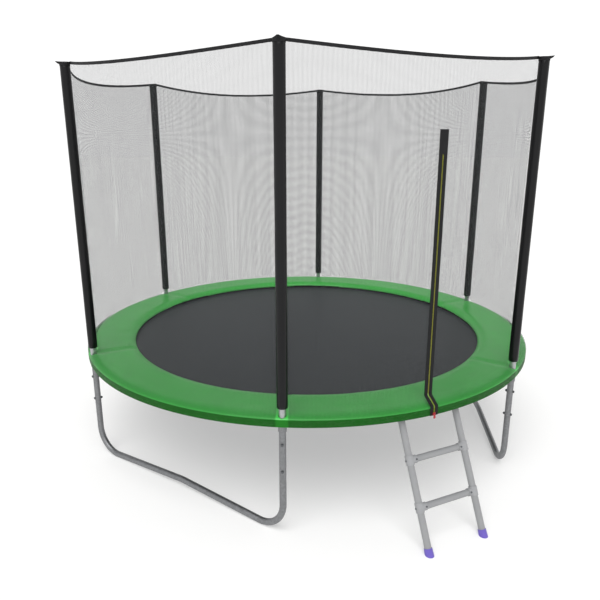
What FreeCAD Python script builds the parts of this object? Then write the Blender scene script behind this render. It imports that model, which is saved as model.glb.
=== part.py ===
"""Backyard trampoline with an enclosure net and a hook-on ladder, in millimetres.

The origin is on the ground under the middle of the jumping mat and +Z is up. The zipped door and
the ladder face -Y. Angles go round the mat from -Y towards +X. A piece that repeats is made once
at the -Y side, where outward is -Y and sideways is X, and is then turned about Z to its place.
"""
import FreeCAD, Part

import math
import os

from FreeCAD import Vector

# ---- overall sizes ----
ring_radius = 1508.0          # centreline of the round frame that carries the springs
pad_top = 705.0               # ground to the top of the safety pad
pole_count = 6
net_height = 1785.0           # pad top to the middle of the top band, at a pole
base_reach = 316.0            # how far the ladder's feet stand outside its hinge line

# ---- frame tube ----
tube_r = 19.0
tube_wall = 1.5
swage_gap = 0.2               # radial clearance of a swaged end in its tube
swage_length = 60.0
shoulder_length = 4.0
plug_length = 52.0            # swaged end of one frame rail inside the next
rail_lead = 66.0              # from a leg socket to the mouth of its rail
rail_end_gap = 0.5            # butt gap between two rails
socket_wall = 3.3
socket_gap = 0.2              # radial clearance of a leg in its socket
socket_below = 45.0           # socket below the ring's axis
weld_bite = 1.5               # how far the socket is let into the ring tube
rail_screw_back = 39.0        # rail screw, measured back from the leg socket
rail_screw_r = 2.4
screw_hole_gap = 0.2

# ---- legs and poles ----
tail_to_swage = 31.0          # pole's tail to the leg base's swaged end inside the leg
bend_r = 160.0                # leg base, axis radius where it turns up
middle_rise = 32.0            # the base rail is this much higher in its middle
middle_bend_r = 300.0
upper_bolt_drop = 161.0       # leg bolts, measured down from the pad top
lower_bolt_drop = 317.0
bolt_r = 4.0
bolt_hole_gap = 0.2
bolt_head_across = 13.0
bolt_head_height = 5.3
washer_r = 8.5
washer_thickness = 1.6
nut_height = 6.5
bolt_spare = 2.5              # thread past the nut
pole_tail_below_bolt = 40.0   # pole's swaged tail below the lower bolt
pole_joint_above_pad = 855.0
foam_thickness = 9.7
foam_gap = 0.3
foam_lift = 42.0              # bare pole between the pad and the foam
cap_overhang = 5.0            # cap's head past its tube
cap_head_height = 7.0
cap_plug_length = 32.0

# ---- mat, webbing and springs ----
springs_per_rail = 10
spring_axis_lift = 2.0        # spring line above the ring's axis
wire_r = 1.6
barrel_r = 10.0
spring_hole_gap = 2.4
spring_hook_r = 8.0
hook_play = 0.45              # between a spring's hook and its V-ring
barrel_to_hook = 2.6
barrel_to_ring = 11.0
ring_tip_gap = 0.939          # hook's tip to the ring's bore, at the tip's lower end
knee_r = 2.5
hook_tip_depth = 9.0
mat_gap = 170.0               # ring centreline to the spring's hook on the mat side
mat_thickness = 2.5
hem_width = 28.0
hem_thickness = 4.1
v_wire_r = 1.75
v_half_width = 20.0
v_bend_r = 4.0
v_butt_gap = 0.6
v_reach = 23.2                # straight side of a V-ring to its apex
webbing_thickness = 1.2
webbing_side_gap = 8.5        # webbing's edge to the side of its V-ring
webbing_tail = 22.0
webbing_gap = 0.3
edge_to_v_ring = 4.0

# ---- safety pad ----
pad_cover = 248.0             # how far the pad reaches inside the ring's centreline
pad_edge_r = 9.0
pad_thickness = 24.7
pad_shoulder = 32.0           # rounded outer shoulder, measured inwards from the flap
pad_shoulder_drop = 14.0
flap_drop = 55.0              # pad top to the flap's lower edge
flap_thickness = 2.5
flap_gap = 3.0                # flap to the leg sockets
pole_hole_gap = 3.0
soft_gap = 0.3

# ---- net ----
net_thickness = 1.0
net_to_foam = 0.5
net_foot = 35.0               # where the wall starts to flare, above the pad top
band_height = 16.0
band_thickness = 2.4
band_sag = 55.0
skirt_thickness = 1.2
skirt_top_drop = 3.0          # where the skirt turns down, below the pad top
skirt_gap = 1.0
pole_notch_half_width = 33.0
pocket_half_width = 27.0
pocket_reach = 22.0           # pocket tip past the foam
pocket_thickness = 2.0

# ---- zip ----
zip_half_width = 25.0
zip_top_drop = 377.0          # strip top below the band's height at a pole
teeth_top_drop = 495.0
tape_thickness = 1.4
teeth_half_width = 4.0
teeth_gap = 0.2
teeth_lift = 0.2
teeth_thickness = 2.4
slider_half_width = 8.0
slider_length = 16.0
slider_gap = 0.3
slider_plate = 1.6
slider_start = 1.0            # slider above the flap's lower edge
bridge_height = 5.4
bridge_half_width = 3.0
pull_half_width = 6.5
pull_length = 24.0
pull_thickness = 2.0
pull_pin_r = 1.2
pull_pin_gap = 0.2

# ---- ladder ----
ladder_angle = 0.65
rail_half_spacing = 179.5
ladder_tube_r = 19.0
ladder_wall = 1.5
ladder_top_gap = 13.0         # ring tube to the top of a ladder rail
foot_wall = 3.0
foot_flare = 2.0
foot_length = 34.0
foot_floor = 14.0
lower_rung = 238.0            # along the rail, from the ground
rung_spacing = 245.0
rung_r = 18.0
tee_wall = 3.3
tee_gap = 0.2
tee_half_length = 25.0
tee_stub_length = 17.0
hook_inner_gap = 0.9
hook_band = 7.0
hook_thickness = 5.0
hook_tongue = 26.0
hook_tongue_gap = 0.3
hook_tip_angle = 20.0         # hook's inner tip, below the ring's level
hook_room = 1.5
ladder_screw_r = 2.5
ladder_screw_head_r = 5.0
ladder_screw_head = 3.0
ladder_screw_length = 12.0

# ---- worked out from the sizes above ----
step_angle = 360.0 / pole_count
pole_angles = [-step_angle / 2 + step_angle * i for i in range(pole_count)]
tube_bore = tube_r - tube_wall
swage_r = tube_bore - swage_gap
swage_bore = swage_r - tube_wall
socket_r = tube_r + socket_gap + socket_wall
foam_r = tube_r + foam_gap + foam_thickness
cap_head_r = tube_r + cap_overhang
tee_r = ladder_tube_r + tee_gap + tee_wall
tee_stub_r = rung_r + tee_gap + tee_wall
ladder_start = tube_r + ladder_top_gap
pad_inner_r = ring_radius - pad_cover
webbing_half_width = v_half_width - webbing_side_gap
spring_hole_r = wire_r + spring_hole_gap
barrel_bore_r = barrel_r - 2 * wire_r
pole_radius = ring_radius + tube_r + socket_r - weld_bite
pad_under = pad_top - pad_thickness
ring_z = pad_under - soft_gap - tube_r
ring_top = ring_z + tube_r
mat_z = ring_z + spring_axis_lift
upper_bolt_z = pad_top - upper_bolt_drop
lower_bolt_z = pad_top - lower_bolt_drop
leg_joint_z = lower_bolt_z - pole_tail_below_bolt - tail_to_swage - swage_length
pole_joint_z = pad_top + pole_joint_above_pad
foam_bottom = pad_top + foam_lift
band_z = pad_top + net_height
pole_top = band_z - band_height / 2 - cap_head_height + 5.0
mat_hook_radius = ring_radius - mat_gap
flap_inner_r = pole_radius + socket_r + flap_gap
flap_outer_r = flap_inner_r + flap_thickness
flap_bottom = pad_top - flap_drop
net_outer_r = pole_radius - foam_r - net_to_foam
net_inner_r = net_outer_r - net_thickness
net_foot_z = pad_top + net_foot
skirt_inner_r = flap_outer_r + skirt_gap
band_lowest = band_z - band_sag
hinge_y = -math.sqrt(ring_radius ** 2 - rail_half_spacing ** 2)
lean = math.atan2(base_reach, ring_z)
ladder_length = ring_z / math.cos(lean)


def turned(shape, angle):
    """A copy of shape, turned about the vertical axis through the mat's middle."""
    copy = shape.copy()
    copy.rotate(Vector(0, 0, 0), Vector(0, 0, 1), angle)
    return copy


def rod(radius, start, end):
    """A round bar between two points."""
    run = end - start
    return Part.makeCylinder(radius, run.Length, start, run)


def pipe(radius, bore, start, end):
    """A straight tube between two points."""
    return rod(radius, start, end).cut(rod(bore, start, end))


def upright(radius, bore, low, high, distance=pole_radius):
    """A vertical tube on the -Y side, at a distance from the middle."""
    return pipe(radius, bore, Vector(0, -distance, low), Vector(0, -distance, high))


def block(x_low, x_high, y_low, y_high, z_low, z_high):
    """A box given by its limits."""
    size = (x_high - x_low, y_high - y_low, z_high - z_low)
    return Part.makeBox(*size, Vector(x_low, y_low, z_low))


def joined(first, *others):
    """The union of touching solids, without the seams between them."""
    return first.multiFuse(list(others)).removeSplitter()


def face_in_radial_plane(outline):
    """A flat face from (radius, height) points, standing in the plane X = 0 on the -Y side."""
    points = [Vector(0, -radius, height) for radius, height in outline]
    return Part.Face(Part.makePolygon(points + points[:1]))


def swept(face, start_angle, end_angle):
    """A radial-plane face swept about the vertical axis between two angles."""
    solid = face.revolve(Vector(0, 0, 0), Vector(0, 0, 1), end_angle - start_angle)
    return turned(solid, start_angle)


def wall(inner, outer, low, high, start_angle, end_angle):
    """A curved wall between two radii, two heights and two angles."""
    outline = [(inner, low), (outer, low), (outer, high), (inner, high)]
    return swept(face_in_radial_plane(outline), start_angle, end_angle)


def ring_bar(radius, start_angle, end_angle):
    """A solid bar bent along the ring."""
    centre = Vector(0, -ring_radius, ring_z)
    section = Part.Face(Part.Wire(Part.makeCircle(radius, centre, Vector(1, 0, 0))))
    return swept(section, start_angle, end_angle)


def degrees_along(length, radius=ring_radius):
    """The angle that an arc of this length takes at a radius."""
    return math.degrees(length / radius)


def hexagon(across, height, start, direction):
    """A hexagonal bar, across its flats, from a point along a direction in the X = 0 plane."""
    corner = across / math.sqrt(3)
    side = Vector(1, 0, 0)
    up = direction.cross(side)
    points = []
    for i in range(6):
        turn = math.radians(60 * i)
        points.append(start + side * corner * math.cos(turn) + up * corner * math.sin(turn))
    return Part.Face(Part.makePolygon(points + points[:1])).extrude(direction * height)


# ---------------------------------------------------------------- round frame
def frame_rail():
    """One sixth of the ring: a tube with a leg socket, a swaged plug and its spring holes."""
    start = -degrees_along(rail_lead)
    end = start + step_angle - degrees_along(rail_end_gap)
    shoulder = end - degrees_along(shoulder_length)
    tip = end + degrees_along(plug_length)
    tube = ring_bar(tube_r, start, end)
    plug = ring_bar(swage_r, shoulder, tip)
    socket_low = ring_z - socket_below
    socket = rod(socket_r, Vector(0, -pole_radius, socket_low), Vector(0, -pole_radius, ring_top))
    rail = tube.fuse(plug).fuse(socket)
    rail = rail.cut(ring_bar(tube_bore, start - 1, shoulder))
    rail = rail.cut(ring_bar(swage_bore, shoulder - 1, tip + 1))
    leg_way = rod(tube_r + socket_gap, Vector(0, -pole_radius, socket_low - 1),
                  Vector(0, -pole_radius, ring_top + 1))
    rail = rail.cut(leg_way)
    inside = ring_radius - tube_r
    hole = rod(spring_hole_r, Vector(0, -inside + 6, mat_z), Vector(0, -inside - 6, mat_z))
    spacing = step_angle / springs_per_rail
    holes = [turned(hole, spacing * (i + 0.5)) for i in range(springs_per_rail)]
    screw_way = rod(rail_screw_r + screw_hole_gap, Vector(0, -ring_radius, ring_z - tube_r - 5),
                    Vector(0, -ring_radius, ring_z))
    screw_angle = -degrees_along(rail_screw_back)
    holes.append(turned(screw_way, screw_angle))
    holes.append(turned(screw_way, screw_angle + step_angle))
    return rail.cut(Part.makeCompound(holes))


def rail_screw():
    """A self-tapping screw from below, through a rail's mouth and the plug inside it."""
    head_top = ring_z - tube_r
    centre = Vector(0, -ring_radius, head_top)
    head = rod(5.0, centre - Vector(0, 0, 3.2), centre - Vector(0, 0, 0.05))
    shank = rod(rail_screw_r, centre - Vector(0, 0, 0.1), centre + Vector(0, 0, 10))
    return joined(head, shank)


# ---------------------------------------------------------------- legs
def bolt_ways(radius):
    """The two level bolt holes through a leg and the pole inside it."""
    ways = []
    for z in (upper_bolt_z, lower_bolt_z):
        ways.append(rod(radius, Vector(0, -pole_radius - tube_r - 2, z),
                        Vector(0, -pole_radius + tube_r + 2, z)))
    return Part.makeCompound(ways)


def leg_upright():
    """The vertical tube between the leg base and the ring."""
    tube = upright(tube_r, tube_bore, leg_joint_z, ring_top)
    return tube.cut(bolt_ways(bolt_r + bolt_hole_gap))


def leg_base_path(top_z):
    """The leg base's centreline: down one leg, along the ground with a raised middle, and up."""
    chord_y = -pole_radius * math.cos(math.radians(step_angle / 2))
    half = pole_radius * math.sin(math.radians(step_angle / 2))
    slope = math.atan2(middle_rise, half - bend_r)

    def at(x, z):
        return Vector(x, chord_y, z)

    def arc_point(turn):
        return half - bend_r * (1 - math.cos(turn)), tube_r + bend_r * (1 - math.sin(turn))

    bend_mid = arc_point((math.pi / 2 + slope) / 2)
    bend_end = arc_point(math.pi / 2 + slope)
    peak_z = bend_end[1] + math.tan(slope) * bend_end[0]
    cut_x = middle_bend_r * math.sin(slope)
    cut_z = peak_z - cut_x * math.tan(slope)
    crown_z = cut_z + middle_bend_r * (1 - math.cos(slope))
    right = [Part.LineSegment(at(half, top_z), at(half, tube_r + bend_r)),
             Part.Arc(at(half, tube_r + bend_r), at(*bend_mid), at(*bend_end)),
             Part.LineSegment(at(*bend_end), at(cut_x, cut_z))]
    middle = [Part.Arc(at(cut_x, cut_z), at(0, crown_z), at(-cut_x, cut_z))]
    left = [Part.LineSegment(at(-cut_x, cut_z), at(-bend_end[0], bend_end[1])),
            Part.Arc(at(-bend_end[0], bend_end[1]), at(-bend_mid[0], bend_mid[1]),
                     at(-half, tube_r + bend_r)),
            Part.LineSegment(at(-half, tube_r + bend_r), at(-half, top_z))]
    return Part.Wire([piece.toShape() for piece in right + middle + left])


def leg_base():
    """One bent tube that joins two legs, with a swaged end up inside each upright."""
    path = leg_base_path(leg_joint_z)
    start = path.OrderedVertexes[0].Point
    down = Vector(0, 0, -1)

    def bent(radius):
        section = Part.Face(Part.Wire(Part.makeCircle(radius, start, down)))
        return path.makePipe(section)

    body = bent(tube_r).cut(bent(tube_bore))
    half = abs(start.x)
    for side in (-1, 1):
        foot = Vector(side * half, start.y, leg_joint_z - shoulder_length)
        joint = Vector(side * half, start.y, leg_joint_z)
        tip = Vector(side * half, start.y, leg_joint_z + swage_length)
        body = joined(body, pipe(tube_r, swage_bore, foot, joint))
        body = joined(body, pipe(swage_r, swage_bore, foot, tip))
    return body


def leg_bolt():
    """A hexagon bolt from outside, through leg and pole."""
    outside = -pole_radius - tube_r
    inside = -pole_radius + tube_r
    tip = inside + washer_thickness + nut_height + bolt_spare
    head_start = Vector(0, outside - washer_thickness, 0)
    head = hexagon(bolt_head_across, bolt_head_height, head_start, Vector(0, -1, 0))
    return joined(head, rod(bolt_r, head_start, Vector(0, tip, 0)))


def leg_nut():
    """The nut on the inner side of a leg, with the two washers of its bolt."""
    outside = -pole_radius - tube_r
    inside = -pole_radius + tube_r
    way = rod(bolt_r + 0.05, Vector(0, outside - 20, 0), Vector(0, inside + 20, 0))
    inner = rod(washer_r, Vector(0, inside, 0), Vector(0, inside + washer_thickness, 0))
    outer = rod(washer_r, Vector(0, outside - washer_thickness, 0), Vector(0, outside, 0))
    nut = hexagon(bolt_head_across, nut_height, Vector(0, inside + washer_thickness, 0),
                  Vector(0, 1, 0))
    return [piece.cut(way) for piece in (inner, outer, nut)]


# ---------------------------------------------------------------- enclosure poles
def pole_lower():
    """The lower half of a pole: its swaged tail stands in the leg, its shoulder on the leg."""
    tail = upright(swage_r, swage_bore, lower_bolt_z - pole_tail_below_bolt,
                   ring_top + shoulder_length)
    shoulder = upright(tube_r, swage_bore, ring_top, ring_top + shoulder_length)
    tube = upright(tube_r, tube_bore, ring_top, pole_joint_z)
    return joined(tube, shoulder, tail).cut(bolt_ways(bolt_r + bolt_hole_gap))


def pole_upper():
    """The upper half of a pole, plugged into the lower half."""
    tail = upright(swage_r, swage_bore, pole_joint_z - swage_length,
                   pole_joint_z + shoulder_length)
    shoulder = upright(tube_r, swage_bore, pole_joint_z, pole_joint_z + shoulder_length)
    tube = upright(tube_r, tube_bore, pole_joint_z, pole_top)
    return joined(tube, shoulder, tail)


def pole_foam():
    """The foam sleeve round a pole."""
    return upright(foam_r, tube_r + foam_gap, foam_bottom, pole_top - soft_gap)


def pole_cap():
    """The plastic cap in the top of a pole."""
    centre = Vector(0, -pole_radius, pole_top)
    plug = rod(swage_r, centre - Vector(0, 0, cap_plug_length), centre)
    plug = plug.cut(rod(swage_bore, centre - Vector(0, 0, cap_plug_length), centre))
    head = rod(cap_head_r, centre, centre + Vector(0, 0, cap_head_height))
    rim = [edge for edge in head.Edges
           if edge.Vertexes and abs(edge.Vertexes[0].Z - pole_top - cap_head_height) < 0.01
           and edge.Curve.TypeId == "Part::GeomCircle"]
    return joined(head.makeFillet(cap_head_height / 3, rim), plug)


# ---------------------------------------------------------------- mat and springs
def jumping_mat():
    """The woven mat, a flat disc inside its hem."""
    radius = mat_hook_radius - v_reach - edge_to_v_ring - hem_width
    low = Vector(0, 0, mat_z - mat_thickness / 2)
    return Part.makeCylinder(radius, mat_thickness, low)


def mat_hem():
    """The sewn webbing round the mat's edge."""
    outer = mat_hook_radius - v_reach - edge_to_v_ring
    low, high = mat_z - hem_thickness / 2, mat_z + hem_thickness / 2
    return wall(outer - hem_width, outer, low, high, 0, 360)


def v_ring():
    """A triangular ring bent from wire, whose ends meet on its straight side."""
    base = mat_hook_radius - v_reach
    point = v_bend_r / math.sin(math.atan2(v_half_width, v_reach)) - v_bend_r
    corners = [Vector(v_half_width, -base, mat_z), Vector(0, -mat_hook_radius - point, mat_z),
               Vector(-v_half_width, -base, mat_z)]
    start = Vector(v_butt_gap / 2, -base, mat_z)
    end = Vector(-v_butt_gap / 2, -base, mat_z)
    route = [start] + corners + [end]
    edges = []
    here = start
    for i in range(1, 4):
        back = (route[i - 1] - route[i]).normalize()
        ahead = (route[i + 1] - route[i]).normalize()
        half_turn = back.getAngle(ahead) / 2
        reach = v_bend_r / math.tan(half_turn)
        enter = route[i] + back * reach
        leave = route[i] + ahead * reach
        inward = (back + ahead).normalize()
        centre = route[i] + inward * (v_bend_r / math.sin(half_turn))
        edges.append(Part.LineSegment(here, enter).toShape())
        edges.append(Part.Arc(enter, centre - inward * v_bend_r, leave).toShape())
        here = leave
    edges.append(Part.LineSegment(here, end).toShape())
    section = Part.Face(Part.Wire(Part.makeCircle(v_wire_r, start, Vector(1, 0, 0))))
    return Part.Wire(edges).makePipe(section)


def webbing_loop():
    """A strip of webbing folded round a V-ring's straight side and sewn to the hem."""
    base = mat_hook_radius - v_reach
    inner = hem_thickness / 2
    outer = inner + webbing_thickness
    tail_y = -base + webbing_tail

    def folded(radius, end_y):
        bend = Part.makeCylinder(radius, 2 * webbing_half_width,
                                 Vector(-webbing_half_width, -base, mat_z), Vector(1, 0, 0))
        flat = block(-webbing_half_width, webbing_half_width, -base, end_y,
                     mat_z - radius, mat_z + radius)
        return joined(bend, flat)

    return folded(outer, tail_y).cut(folded(inner, tail_y + 1))


def spring():
    """A tension spring: a coiled barrel with a hook in the ring and one on a V-ring."""
    ring_wall = ring_radius - tube_r
    below_axis = ring_z - (mat_z - hook_tip_depth)
    bore_reach = math.sqrt(tube_bore ** 2 - below_axis ** 2)
    tip_radius = ring_radius - bore_reach + ring_tip_gap + wire_r
    barrel_end = ring_wall - barrel_to_ring
    eye_inner = mat_hook_radius - v_wire_r - hook_play - wire_r
    eye_centre = Vector(0, -eye_inner - spring_hook_r, mat_z)
    barrel_start = eye_inner + 2 * spring_hook_r + barrel_to_hook

    def on_axis(radius):
        return Vector(0, -radius, mat_z)

    barrel = pipe(barrel_r, barrel_bore_r, on_axis(barrel_start), on_axis(barrel_end))
    first_end = rod(barrel_r, on_axis(barrel_start), on_axis(barrel_start + 2 * wire_r))
    last_end = rod(barrel_r, on_axis(barrel_end - 2 * wire_r), on_axis(barrel_end))
    eye = Part.makeTorus(spring_hook_r, wire_r, eye_centre, Vector(1, 0, 0))
    link = rod(0.9 * wire_r, on_axis(eye_inner + 2 * spring_hook_r), on_axis(barrel_start + wire_r))
    turn = math.radians(45)
    knee_start = on_axis(tip_radius - knee_r)
    knee_mid = on_axis(tip_radius - knee_r + knee_r * math.sin(turn))
    knee_mid -= Vector(0, 0, knee_r * (1 - math.cos(turn)))
    knee_end = on_axis(tip_radius) - Vector(0, 0, knee_r)
    tip_end = on_axis(tip_radius) - Vector(0, 0, hook_tip_depth)
    route = [Part.LineSegment(on_axis(barrel_end - wire_r), knee_start),
             Part.Arc(knee_start, knee_mid, knee_end), Part.LineSegment(knee_end, tip_end)]
    section = Part.makeCircle(wire_r, on_axis(barrel_end - wire_r), Vector(0, -1, 0))
    wire = Part.Wire([piece.toShape() for piece in route])
    tip = wire.makePipe(Part.Face(Part.Wire(section)))
    return joined(barrel, first_end, last_end, eye, link, tip)


# ---------------------------------------------------------------- safety pad
def safety_pad():
    """The padded cover over the springs, with an outer flap that hangs outside the legs."""
    def at(radius, height):
        return Vector(0, -radius, height)

    shoulder_start = flap_outer_r - pad_shoulder
    shoulder_end_z = pad_top - pad_shoulder_drop
    turn = math.radians(45)
    shoulder_mid = at(shoulder_start + pad_shoulder * math.sin(turn),
                      pad_top - pad_shoulder_drop * (1 - math.cos(turn)))
    edge_mid = at(pad_inner_r + pad_edge_r * (1 - math.cos(turn)),
                  pad_top - pad_edge_r * (1 - math.sin(turn)))
    outline = [
        Part.LineSegment(at(flap_inner_r, pad_under), at(pad_inner_r, pad_under)),
        Part.LineSegment(at(pad_inner_r, pad_under), at(pad_inner_r, pad_top - pad_edge_r)),
        Part.Arc(at(pad_inner_r, pad_top - pad_edge_r), edge_mid,
                 at(pad_inner_r + pad_edge_r, pad_top)),
        Part.LineSegment(at(pad_inner_r + pad_edge_r, pad_top), at(shoulder_start, pad_top)),
        Part.Arc(at(shoulder_start, pad_top), shoulder_mid, at(flap_outer_r, shoulder_end_z)),
        Part.LineSegment(at(flap_outer_r, shoulder_end_z), at(flap_outer_r, flap_bottom)),
        Part.LineSegment(at(flap_outer_r, flap_bottom), at(flap_inner_r, flap_bottom)),
        Part.LineSegment(at(flap_inner_r, flap_bottom), at(flap_inner_r, pad_under)),
    ]
    face = Part.Face(Part.Wire([piece.toShape() for piece in outline]))
    pad = swept(face, 0, 360)
    pole_way = rod(tube_r + pole_hole_gap, at(pole_radius, pad_under - 1),
                   at(pole_radius, pad_top + 1))
    ways = [turned(pole_way, angle) for angle in pole_angles]
    hook_way = rod(tube_r + hook_inner_gap + hook_band + hook_room,
                   Vector(-hook_thickness / 2 - hook_room, hinge_y, ring_z),
                   Vector(hook_thickness / 2 + hook_room, hinge_y, ring_z))
    for side in (-1, 1):
        way = hook_way.copy()
        way.translate(Vector(side * rail_half_spacing, 0, 0))
        ways.append(turned(way, ladder_angle))
    return pad.cut(Part.makeCompound(ways))


# ---------------------------------------------------------------- net
def sag_cutter(offset):
    """The round bar whose lower side is the band's sagging line, lowered by an offset."""
    half = net_outer_r * math.sin(math.radians(step_angle / 2))
    radius = (half ** 2 + band_sag ** 2) / (2 * band_sag)
    centre_z = band_lowest + radius
    return rod(radius + offset, Vector(0, -net_outer_r - 300, centre_z),
               Vector(0, -net_outer_r * 0.3, centre_z))


def net_wall(inner, outer, low, high):
    """A sixth of a curved wall, centred on -Y."""
    return wall(inner, outer, low, high, -step_angle / 2, step_angle / 2)


def net_panel():
    """The net between two poles, under the sagging band."""
    panel = net_wall(net_inner_r, net_outer_r, net_foot_z, band_z)
    return panel.cut(sag_cutter(band_height / 2))


def door_panel():
    """The panel with the door: the same net with a slit for the zip."""
    slit_half = teeth_half_width + teeth_gap
    slit = block(-slit_half, slit_half, -net_outer_r - 5, -net_inner_r + 5,
                 net_foot_z - 5, band_z - teeth_top_drop)
    return net_panel().cut(slit)


def top_band():
    """The webbing round the net's top edge, with a pocket over each pole."""
    middle = (net_inner_r + net_outer_r) / 2
    segment = net_wall(middle - band_thickness / 2, middle + band_thickness / 2,
                       band_lowest - band_height, band_z + band_height)
    segment = segment.common(sag_cutter(band_height / 2)).cut(sag_cutter(-band_height / 2))
    segments = [turned(segment, step_angle * i) for i in range(pole_count)]
    band = joined(segments[0], *segments[1:])
    low = pole_top + cap_head_height + soft_gap
    inner_y = -middle
    tip_y = -pole_radius - foam_r - pocket_reach
    shape = [Vector(-pocket_half_width, inner_y, low), Vector(pocket_half_width, inner_y, low),
             Vector(pocket_half_width, -pole_radius, low), Vector(4, tip_y, low),
             Vector(-4, tip_y, low), Vector(-pocket_half_width, -pole_radius, low)]
    pocket = Part.Face(Part.makePolygon(shape + shape[:1]))
    pocket = pocket.extrude(Vector(0, 0, pocket_thickness))
    return joined(band, *[turned(pocket, angle) for angle in pole_angles])


def moved_out(line, distance):
    """A (radius, height) line moved out square to itself, with its corners kept sharp."""
    moved = []
    for i, (radius, height) in enumerate(line):
        normals = []
        for a, b in ((i - 1, i), (i, i + 1)):
            if a < 0 or b >= len(line):
                continue
            run_r = line[b][0] - line[a][0]
            run_z = line[b][1] - line[a][1]
            length = math.hypot(run_r, run_z)
            normals.append((-run_z / length, run_r / length))
        nr = sum(n[0] for n in normals) / len(normals)
        nz = sum(n[1] for n in normals) / len(normals)
        scale = distance / (nr * nr + nz * nz)
        moved.append((radius + nr * scale, height + nz * scale))
    return moved


def skirt_line():
    """The net skirt's inner side: out over the pad from the wall's foot, then down the flap."""
    return [(net_inner_r, net_foot_z), (skirt_inner_r, pad_top - skirt_top_drop),
            (skirt_inner_r, flap_bottom)]


def net_skirt():
    """The lower net, drawn out over the pad and down outside its flap, notched at each pole."""
    inner = skirt_line()
    outer = moved_out(inner, skirt_thickness)
    run = (outer[1][0] - outer[0][0]) / (outer[0][1] - outer[1][1])
    outer[0] = (outer[0][0] + (outer[0][1] - net_foot_z) * run, net_foot_z)
    skirt = swept(face_in_radial_plane(inner + outer[::-1]), 0, 360)
    notch = block(-pole_notch_half_width, pole_notch_half_width, -skirt_inner_r - 20,
                  -net_inner_r + 1, flap_bottom - 1, net_foot_z + 1)
    slit_half = teeth_half_width + teeth_gap
    slit = block(-slit_half, slit_half, -skirt_inner_r - 20, -net_inner_r + 1,
                 flap_bottom - 1, net_foot_z + 1)
    ways = [turned(notch, angle) for angle in pole_angles] + [slit]
    return skirt.cut(Part.makeCompound(ways))


# ---------------------------------------------------------------- zip
def zip_line(top_z):
    """The line that the zip follows on the outside of the net, from its top to the flap."""
    skirt_outer = moved_out(skirt_line(), skirt_thickness)
    return [(net_outer_r, top_z), (net_outer_r, skirt_outer[0][1] + 1.5),
            skirt_outer[1], (skirt_outer[2][0], flap_bottom)]


def zip_strip(top_z, lift, thickness, x_low, x_high):
    """A strip along the zip's line, lifted off it, between two X limits."""
    line = zip_line(top_z)
    low_side = moved_out(line, lift)
    high_side = moved_out(line, lift + thickness)
    face = face_in_radial_plane(low_side + high_side[::-1])
    face.translate(Vector(x_low, 0, 0))
    return face.extrude(Vector(x_high - x_low, 0, 0))


def zip_tapes():
    """The two woven tapes, joined above the teeth."""
    top = band_z - zip_top_drop
    tape = zip_strip(top, 0.0, tape_thickness, -zip_half_width, zip_half_width)
    slit_half = teeth_half_width + teeth_gap
    slit = block(-slit_half, slit_half, -skirt_inner_r - 40, -net_outer_r + 5,
                 flap_bottom - 5, band_z - teeth_top_drop)
    return tape.cut(slit)


def zip_teeth():
    """The closed row of teeth between the tapes."""
    top = band_z - teeth_top_drop - teeth_gap
    return zip_strip(top, teeth_lift, teeth_thickness, -teeth_half_width, teeth_half_width)


def slider_levels():
    """Lower end of the slider, and radii of the tape's face and of the teeth's face."""
    tape_face = skirt_inner_r + skirt_thickness + tape_thickness
    teeth_face = skirt_inner_r + skirt_thickness + teeth_lift + teeth_thickness
    return flap_bottom + slider_start, tape_face, teeth_face


def bridge_pin():
    """The middle of the slider's bridge, where the pull hangs."""
    low, tape_face, teeth_face = slider_levels()
    plate_face = teeth_face + slider_gap + slider_plate
    return Vector(0, -plate_face - bridge_height + pull_pin_r + 1.0, low + slider_length * 0.45)


def zip_slider():
    """The slider: a plate over the teeth, a cheek on each side and a bridge for the pull."""
    low, tape_face, teeth_face = slider_levels()
    high = low + slider_length
    plate_inner = teeth_face + slider_gap
    plate_outer = plate_inner + slider_plate
    plate = block(-slider_half_width, slider_half_width, -plate_outer, -plate_inner, low, high)
    cheek_inner = teeth_half_width + slider_gap
    pieces = [plate]
    for side in (-1, 1):
        x_low, x_high = sorted((side * cheek_inner, side * slider_half_width))
        pieces.append(block(x_low, x_high, -plate_outer, -tape_face - slider_gap, low, high))
    pin = bridge_pin()
    for side in (-1, 1):
        x_low, x_high = sorted((side * bridge_half_width, side * (bridge_half_width + 1.5)))
        pieces.append(block(x_low, x_high, -plate_outer - bridge_height, -plate_inner,
                            pin.z - 2.5, pin.z + 2.5))
    reach = bridge_half_width + 1.0
    pieces.append(rod(pull_pin_r, pin - Vector(reach, 0, 0), pin + Vector(reach, 0, 0)))
    return joined(*pieces)


def zip_pull():
    """The tab that hangs from the slider's bridge."""
    pin = bridge_pin()
    eye_r = pull_pin_r + pull_pin_gap + 1.3
    neck_half = bridge_half_width - 0.3
    eye = rod(eye_r, pin - Vector(neck_half, 0, 0), pin + Vector(neck_half, 0, 0))
    neck = block(-neck_half, neck_half, pin.y - pull_thickness / 2, pin.y + pull_thickness / 2,
                 pin.z - 8, pin.z)
    tab = block(-pull_half_width, pull_half_width, pin.y - pull_thickness / 2,
                pin.y + pull_thickness / 2, pin.z - pull_length, pin.z - 6)
    tab = tab.makeFillet(3.0, [edge for edge in tab.Edges
                               if abs(edge.tangentAt(edge.FirstParameter).y) > 0.9])
    way = rod(pull_pin_r + pull_pin_gap, pin - Vector(10, 0, 0), pin + Vector(10, 0, 0))
    return joined(eye, neck, tab).cut(way)


# ---------------------------------------------------------------- ladder
def along_ladder(x, from_ground, out=0.0):
    """A point on the ladder: sideways, up along a rail from the ground, and square out from it."""
    down_y, down_z = -math.sin(lean), -math.cos(lean)
    run = ladder_length - from_ground
    return Vector(x, hinge_y + run * down_y - out * math.cos(lean),
                  ring_z + run * down_z + out * math.sin(lean))


def rung_heights():
    """The two rungs, measured up along a rail from the ground."""
    return [lower_rung, lower_rung + rung_spacing]


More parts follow.
